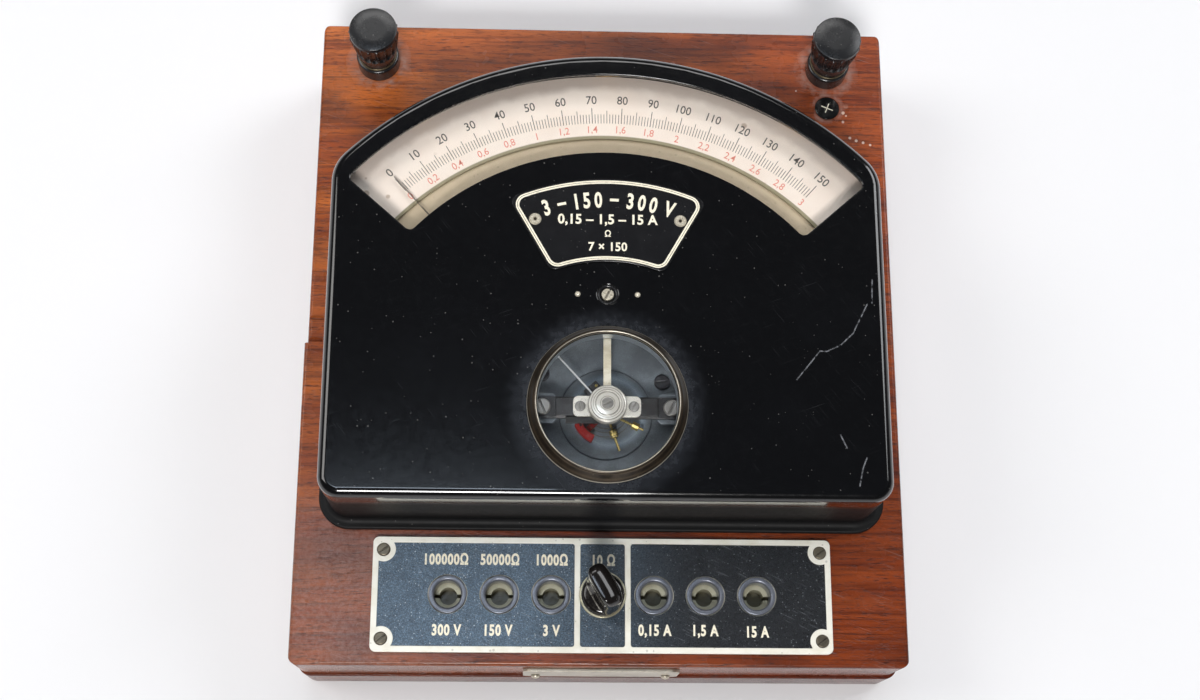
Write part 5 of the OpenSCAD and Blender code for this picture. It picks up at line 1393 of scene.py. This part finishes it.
def arcWords(words, radius, height, squeeze, bold, advance):
    # letters set one by one along an arc about the pivot; advance is each letter's share of the line
    widths = [advance.get(letter, 1.0) for letter in words]
    middle = sum(widths) / 2
    made, run = [], 0.0
    for letter, width in zip(words, widths):
        if letter != " ":
            bearing = math.degrees((run + width / 2 - middle) * height * 0.74 / radius)
            made.append(textMesh(letter, height, dialSpot(bearing, radius), namePlate["top"], bearing,
                                 squeeze, bold, namePlate["paint"]))
        run += width
    return made


lines = [
    filledMesh("borderLine", [onPlan(insetSector(e)) for e in edges], namePlate["top"], namePlate["paint"])
    for edges in namePlate["borderLines"]]
finishPiece(linkedObject("namePlateBorder", joinMeshes("namePlateBorder", lines)),
            "case", paints["cream"])
plateMarks = arcWords("3 – 150 – 300 V", 69.0, 5.2, 0.68, 0.24, {" ": 0.42, "–": 0.9, "1": 0.78})
for words, height, radius, bold in (
        ("0,15 – 1,5 – 15 A", 3.3, 61.9, 0.13), ("Ω", 2.1, 57.3, 0.06), ("7 × 150", 2.9, 52.7, 0.1)):
    plateMarks.append(textMesh(words, height, dialSpot(0, radius), namePlate["top"], 0, 0.95, bold,
        namePlate["paint"], 1.04))
finishPiece(linkedObject("namePlateMarks", joinMeshes("namePlateMarks", plateMarks)),
            "case", paints["cream"])
dressNode("name_plate", paints["plate"], edge=0.2)
dressNode("cover_rivets", paints["rivet"], angle=38)
dressNode("adjuster_bush", paints["bushBlack"], edge=0.12)
dressNode("zero_screw", paints["rivet"], edge=0.1)
dressNode("zero_lever", paints["lever"], edge=0.1)

# ---- movement

print("movement")
movement = {
    "springInner": 1.95,
    "springOuter": 8.9,
    "springTurns": 5,
    "springEnd": 240.0,
    "springZ": 75.1,
    "springWide": 0.5,
    "springThin": 0.14,
    "collet": (0.85, 1.95, 0.9),      # bore, outer radius, height
    "restTurn": -41.9,
    "pointerZ": 77.2,
    "pointerFrom": 3.0,
    "tubeEnd": 92.0,
    "tubeRadii": (0.34, 0.24),
    "knife": (89.6, 106.4, 0.12, 0.9),   # from, to, thickness, drop
}


def spiralMesh():
    m = movement
    steps = m["springTurns"] * 48
    points, faces = [], []
    for i in range(steps + 1):
        share = i / steps
        radius = m["springInner"] + (m["springOuter"] - m["springInner"]) * share
        bearing = m["springEnd"] - (1 - share) * m["springTurns"] * 360
        for out, lift in ((-1, -1), (1, -1), (1, 1), (-1, 1)):
            x, y = atBearing(bearing, radius + out * m["springThin"] / 2)
            points.append((x, y + places["axisY"], m["springZ"] + lift * m["springWide"] / 2))
        if i:
            faces += ringFaces(4, 4 * (i - 1), 4 * i)
    faces += [(3, 2, 1, 0), (4 * steps, 4 * steps + 1, 4 * steps + 2, 4 * steps + 3)]
    mesh = rawMesh("upperSpiral", points, faces)
    cleanMesh(mesh)
    bore, outer, height = m["collet"]
    low, high = m["springZ"] - height / 2, m["springZ"] + height / 2
    collet = latheMesh("collet", [(bore, low), (outer, low), (outer, high), (bore, high)], 32, (0, places["axisY"]))
    return joinMeshes("upperHairspringLook", [mesh, collet])


def pointerMesh():
    m = movement
    sides = 12
    points = []
    for along, radius in ((m["pointerFrom"], m["tubeRadii"][0]), (m["tubeEnd"], m["tubeRadii"][1])):
        for k in range(sides):
            turn = 2 * math.pi * k / sides
            points.append((radius * math.cos(turn), along, radius * math.sin(turn)))
    faces = ringFaces(sides, 0, sides) + [tuple(range(sides)), tuple(range(sides, 2 * sides))]
    tube = rawMesh("tube", points, faces)
    cleanMesh(tube)
    start, end, thick, drop = m["knife"]
    outline = [(start, 0.3), (start + 1.5, -drop), (end, -drop), (end, 0.12), (m["tubeEnd"], 0.3)]
    knife = rawMesh("knife", [(x * thick / 2, y, z) for x in (-1, 1) for y, z in outline],
                    [tuple(range(5)), tuple(range(5, 10))] + ringFaces(5, 0, 5))
    cleanMesh(knife)
    mesh = joinMeshes("pointerLook", [tube, knife])
    mesh.transform(Matrix.Translation((0, places["axisY"] * mm, m["pointerZ"] * mm))
                   @ Matrix.Rotation(math.radians(-m["restTurn"]), 4, "Z"))
    return mesh


spring = linkedObject("upperHairspringLook", spiralMesh())
smoothMesh(spring.data, 50)
finishPiece(spring, "zero_fork", paints["spring"], ["upper_hairspring"])
needle = linkedObject("pointerLook", pointerMesh())
smoothMesh(needle.data, 50)
finishPiece(needle, "movement", paints["pointer"], ["pointer"])
dressNode("shield_plate", paints["shield"], edge=0.12)
dressNode("shield_screws", paints["shieldScrew"], edge=0.12)
dressNode("bridge_pillars", paints["shield"], edge=0.2)
dressNode("bridge", paints["blackMetal"], edge=0.25)
dressNode("movement_screws", paints["bridgeScrew"], edge=0.12)
dressNode("clamp_plate", paints["nickel"], edge=0.15)
dressNode("jewel_hub", paints["hubNickel"], angle=24, edge=0.06)
dressNode("pointer_foot", paints["blackMetal"], edge=0.15)
dressNode("balance_weights", paints["brass"], edge=0.1)
dressNode("lead_carrier", paints["redBlock"], edge=0.5)
for nodeName, paint in (
        ("movement_base", "iron"), ("magnet", "magnet"), ("pole_shoes", "iron"), ("core", "iron"),
        ("lower_jewel", "brass"), ("lower_hairspring", "brass"), ("spindle", "steel"), ("coil", "copper"),
        ("contact_bar", "contact"), ("contact_blocks", "contact"), ("post_studs", "postBrass"),
        ("resistor_bobbins", "bobbinWood"), ("connection_straps", "contact")):
    paintNode(nodeName, paints[paint])

# ---- range panel

print("range panel")
panel = {
    "pitch": 17.0,
    "count": 7,
    "bushOuter": 6.2,
    "bushBore": 4.5,
    "bushFoot": -3.95,
    "bushRim": [            # radius and height above the board
        (6.2, 1.62), (6.13, 1.8), (5.95, 1.9), (5.25, 1.9), (5.0, 1.84), (4.62, 1.5), (4.5, 1.25)],
    "labelHeight": 3.45,
    "labelBold": 0.19,
    "squeeze": 0.74,
    "upperY": -79.2,
    "lowerY": -102.5,
    "paint": 0.05,
}
labels = [  # text, socket, row, shift in x
    ("100000Ω", -3, "upperY", -0.6), ("50000Ω", -2, "upperY", 0.0), ("1000Ω", -1, "upperY", 0.3),
    ("10 Ω", 0, "upperY", 0.4), ("300 V", -3, "lowerY", 0.0), ("150 V", -2, "lowerY", 0.0),
    ("3 V", -1, "lowerY", 0.3), ("0,15 A", 1, "lowerY", 0.2), ("1,5 A", 2, "lowerY", 0.0), ("15 A", 3, "lowerY", 0.2)]


def bushProfile():
    p, base = panel, places["boardTop"]
    profile = [(p["bushBore"], base + p["bushFoot"]), (p["bushOuter"], base + p["bushFoot"])]
    return profile + [(radius, base + height) for radius, height in p["bushRim"]]


bushes = repeatPiece("socketBushes", latheMesh("bush", bushProfile(), 56), panel["count"], 1,
                     panel["pitch"] * (panel["count"] - 1), 0.0, (0, places["panelY"], 0), paints["socket"])
smoothMesh(bushes, 35)
bushRow = linkedObject("socketBushesLook", bushes)
weightNormals(bushRow)
finishPiece(bushRow, "case", paints["socket"], ["socket_bushes"])
dressNode("panel_plate", paints["panelNickel"], edge=0.15)
dressNode("panel_enamel", paints["enamel"])
dressNode("panel_screws", paints["darkSteel"], edge=0.1)
panelMarks = [
    textMesh(words, panel["labelHeight"], (socket * panel["pitch"] + shift, panel[row]), places["panelTop"],
             0, panel["squeeze"], panel["labelBold"], panel["paint"], 1.12)
    for words, socket, row, shift in labels]
finishPiece(linkedObject("panelFigures", joinMeshes("panelFigures", panelMarks)),
            "case", paints["cream"])
dressNode("plug_pin", paints["plugBrass"], edge=0.15)
grip = {
    "foot": [(0.0, 49.15), (6.9, 49.15), (7.1, 49.35), (7.1, 50.25), (6.7, 51.05), (5.8, 51.55), (0.0, 51.55)],
    "low": 51.0,            # where the thumb fin leaves the foot
    "top": 74.5,
    "halfThick": 3.6,
    "halfLong": 7.25,
    "bearing": -30.0,
    "sharpSide": 0.7,       # rounding of the ridge on the left
    "roundSide": 5.4,       # rounding towards the right
    "roundEnds": 3.2,
    "squareness": 3.4,
    "hollow": 0.35,         # how far the thumb faces are hollowed
    "straightLevels": 12,
    "roundLevels": 18,
}


def shrink(rounding, height):
    # how far a rounded rim has drawn in at a height
    over = height - (grip["top"] - rounding)
    return rounding - math.sqrt(max(0.0, rounding ** 2 - over ** 2)) if over > 0 else 0.0


def gripMesh():
    g = grip
    foot = latheMesh("gripFoot", g["foot"], 72, (0, places["panelY"]))
    around, straight, rounds = 72, g["straightLevels"], g["roundLevels"]
    levels = [g["low"] + (g["top"] - g["roundSide"] - g["low"]) * i / straight for i in range(straight)]
    levels += [g["top"] - g["roundSide"] * (1 - math.sin(math.pi / 2 * i / rounds)) for i in range(rounds + 1)]
    points, faces = [], []
    turn = math.radians(-g["bearing"])
    for level in levels:
        share = min(1.0, (level - g["low"]) / (g["top"] - g["roundSide"] - g["low"]))
        waist = g["hollow"] * math.sin(math.pi * share) if share < 1 else 0.0
        right = g["halfThick"] - waist - shrink(g["roundSide"], level)
        left = g["halfThick"] - waist - shrink(g["sharpSide"], level)
        long_ = g["halfLong"] - shrink(g["roundEnds"], level)
        middle, half = (right - left) / 2, max(0.3, (right + left) / 2)
        for k in range(around):
            angle = 2 * math.pi * k / around
            c, n = math.cos(angle), math.sin(angle)
            v = middle + half * math.copysign(abs(c) ** (2 / g["squareness"]), c)
            u = long_ * math.copysign(abs(n) ** (2 / g["squareness"]), n)
            points.append((v * math.cos(turn) - u * math.sin(turn),
                           places["panelY"] + v * math.sin(turn) + u * math.cos(turn), level))
    for j in range(len(levels) - 1):
        faces += ringFaces(around, j * around, (j + 1) * around)
    faces += [tuple(range(around)), tuple(range((len(levels) - 1) * around, len(levels) * around))]
    fin = rawMesh("gripFin", points, faces)
    cleanMesh(fin)
    return joinMeshes("plugGripLook", [foot, fin])


gripPiece = linkedObject("plugGripLook", gripMesh())
smoothMesh(gripPiece.data, 42)
finishPiece(gripPiece, "range_plug", paints["grip"], ["plug_grip"])

# ---- binding posts

print("binding posts")
posts = {
    "knobFoot": 7.4,        # above the board
    "profile": [            # radius and height of the turned knob, from the bore's rim to the top's middle
        (2.06, 0.0), (6.2, 0.0), (6.5, 0.25), (6.6, 0.6), (6.6, 1.5), (6.6, 2.05), (6.9, 2.4)],
    "footRadius": 6.9,
    "footTop": 2.4,
    "shoulder": (8.7, 15.6),
    "crown": [(8.7, 16.1), (8.6, 16.4), (8.32, 16.55), (8.26, 16.7), (8.26, 17.7), (8.2, 17.95), (8.06, 18.12),
              (7.86, 18.2), (4.0, 18.2), (0.0, 18.2)],
    "bore": 2.06,
    "boreTop": 14.2,
    "coneSteps": 26,
    "flutes": 18,
    "stepsPerFlute": 14,
    "cutter": 1.35,         # radius of the ball-nosed cutter
    "cut": 1.05,            # how deep it goes
    "fluteEnd": 7.6,        # height at which the ball's middle stops
}


def knobMesh(name, x):
    # turned knob whose flutes end in round tongues above its smooth foot
    p = posts
    steps = p["coneSteps"]
    slope = (p["shoulder"][0] - p["footRadius"], p["shoulder"][1] - p["footTop"])
    cone = [(p["footRadius"] + slope[0] * (i / steps), p["footTop"] + slope[1] * (i / steps))
            for i in range(1, steps + 1)]
    profile = p["profile"] + cone + p["crown"] + [(0.0, p["boreTop"]), (p["bore"], p["boreTop"])]
    around = p["flutes"] * p["stepsPerFlute"]
    pitch = 360 / p["flutes"]
    points, faces = [], []
    for j, (radius, height) in enumerate(profile):
        fluted = len(p["profile"]) <= j < len(p["profile"]) + steps + 2
        below = max(0.0, p["fluteEnd"] - height)
        for i in range(around):
            turn = 360 * i / around
            off = radius * math.sin(math.radians((turn + pitch / 2) % pitch - pitch / 2))
            ball = p["cutter"] ** 2 - off * off - below * below
            depth = max(0.0, math.sqrt(max(0.0, ball)) - p["cutter"] + p["cut"]) if fluted else 0.0
            px, py = atBearing(turn, radius - depth)
            points.append((x + px, places["postY"] + py, places["boardTop"] + p["knobFoot"] + height))
    for j in range(len(profile)):
        faces += ringFaces(around, j * around, (j + 1) % len(profile) * around)
    mesh = rawMesh(name, points, faces)
    cleanMesh(mesh)
    smoothMesh(mesh, 34)
    return mesh


dressNode("post_bases", paints["bushBlack"], edge=0.3)
for side, sign in (("left", -1), ("right", 1)):
    dressNode(side + "_washer", paints["washer"], edge=0.15)
    knob = linkedObject(side + "KnobLook", knobMesh(side + "KnobLook", sign * places["postX"]))
    finishPiece(knob, side + "_knob", paints["knob"], [side + "_knob"])
dressNode("polarity_disc", paints["marker"], edge=0.35)
crossArms = []
for turn, arm in ((22.0, 4.5), (112.0, 3.8)):
    bar = boxMesh("arm", (0, 0, 0), (arm, 0.34, 0.05))
    spot = (places["postX"] * mm, places["markerY"] * mm, (places["boardTop"] + 0.125) * mm)
    bar.transform(Matrix.Translation(spot) @ Matrix.Rotation(math.radians(-turn), 4, "Z"))
    crossArms.append(bar)
finishPiece(linkedObject("polarityCross", joinMeshes("polarityCross", crossArms)),
            "case", paints["cream"])

# ---- light, floor and camera

print("light and camera")
stand = {
    "floorSize": 6.0,
    "floorColor": screen(238, 238, 240),
    "eye": (-0.02161, -0.16724, 0.59975),
    "forward": (0.0357, 0.2790, -0.9596),
    "up": (-0.0129, 0.9603, 0.2787),
    "lens": 50.25,
    "sensor": 36.0,
}
lampSet = {  # name: (place, size, depth, watts, colour)
    "frontWindow": ((-0.17, -1.9, 2.6), 0.75, 0.7, 50.0, (1.0, 0.985, 0.96)),
    "frontPane": ((-0.16, -1.9, 2.66), 0.4, 0.45, 18.0, (0.99, 0.98, 1.0)),
    "backRight": ((1.1, 0.75, 1.35), 0.8, 0.8, 10.5, (0.97, 0.985, 1.0)),
    "left": ((-1.15, 0.25, 1.35), 0.8, 0.8, 8.5, (1.0, 0.99, 0.97)),
    "back": ((-0.1, 1.35, 1.7), 1.2, 0.6, 9.0, (1.0, 0.99, 0.98)),
    "ceilingPanel": ((-0.17, 0.11, 1.6), 0.34, 0.22, 1.5, (0.82, 0.95, 1.1)),   # the haze on the front left
}
lampAim = Vector((0, 0, 0.04))   # the ceiling panel shines straight down instead
for name, (spot, size, depth, watts, color) in lampSet.items():
    data = bpy.data.lights.new(name, "AREA")
    data.shape = "RECTANGLE"
    data.size, data.size_y = size, depth
    data.energy = watts
    data.color = color
    lamp = linkedObject(name, data)
    lamp.location = spot
    if name != "ceilingPanel":
        lamp.rotation_mode = "QUATERNION"
        lamp.rotation_quaternion = (lampAim - Vector(spot)).to_track_quat("-Z", "Y")

floorMesh = bpy.data.meshes.new("floor")
bm = bmesh.new()
bmesh.ops.create_grid(bm, x_segments=1, y_segments=1, size=stand["floorSize"] / 2)
bm.to_mesh(floorMesh)
bm.free()
floor = linkedObject("floor", floorMesh)
material, tree, shader, here = newMaterial("floorSheet")
setInputs(tree, shader, {"Base Color": stand["floorColor"], "Roughness": 0.8, "Specular IOR Level": 0.2})
floorMesh.materials.append(material)

# a pale horizon that darkens overhead, so that rolled edges draw thin pale lines and flat lacquer stays black
horizon = ((0.06, 0.75), (0.12, 0.3), (0.2, 0.08), (0.6, 0.045))   # height of the way up, brightness
world = bpy.data.worlds.new("room")
scene.world = world
world.use_nodes = True
tree = world.node_tree
background = tree.nodes["Background"]
way = addNode(tree, "ShaderNodeTexCoord").outputs["Generated"]
sky = addNode(tree, "ShaderNodeValToRGB", {"Fac": separated(tree, way)["Z"]})
ramp = sky.color_ramp
ramp.elements[0].position = 0.0
ramp.elements[0].color = (0.95, 0.95, 0.95, 1)
ramp.elements[1].position = 1.0
ramp.elements[1].color = (0.05, 0.055, 0.065, 1)
for position, value in horizon:
    ramp.elements.new(position).color = (value, value, value * 1.03, 1)
tree.links.new(sky.outputs["Color"], background.inputs["Color"])
background.inputs["Strength"].default_value = 1.0

cameraData = bpy.data.cameras.new("camera")
cameraData.sensor_width = stand["sensor"]
cameraData.lens = stand["lens"]
cameraData.clip_start, cameraData.clip_end = 0.01, 20
camera = linkedObject("camera", cameraData)
forward = Vector(stand["forward"]).normalized()
right = forward.cross(Vector(stand["up"])).normalized()
up = right.cross(forward)
turnMatrix = Matrix((right, up, -forward)).transposed()
camera.matrix_world = Matrix.Translation(Vector(stand["eye"])) @ turnMatrix.to_4x4()
scene.camera = camera
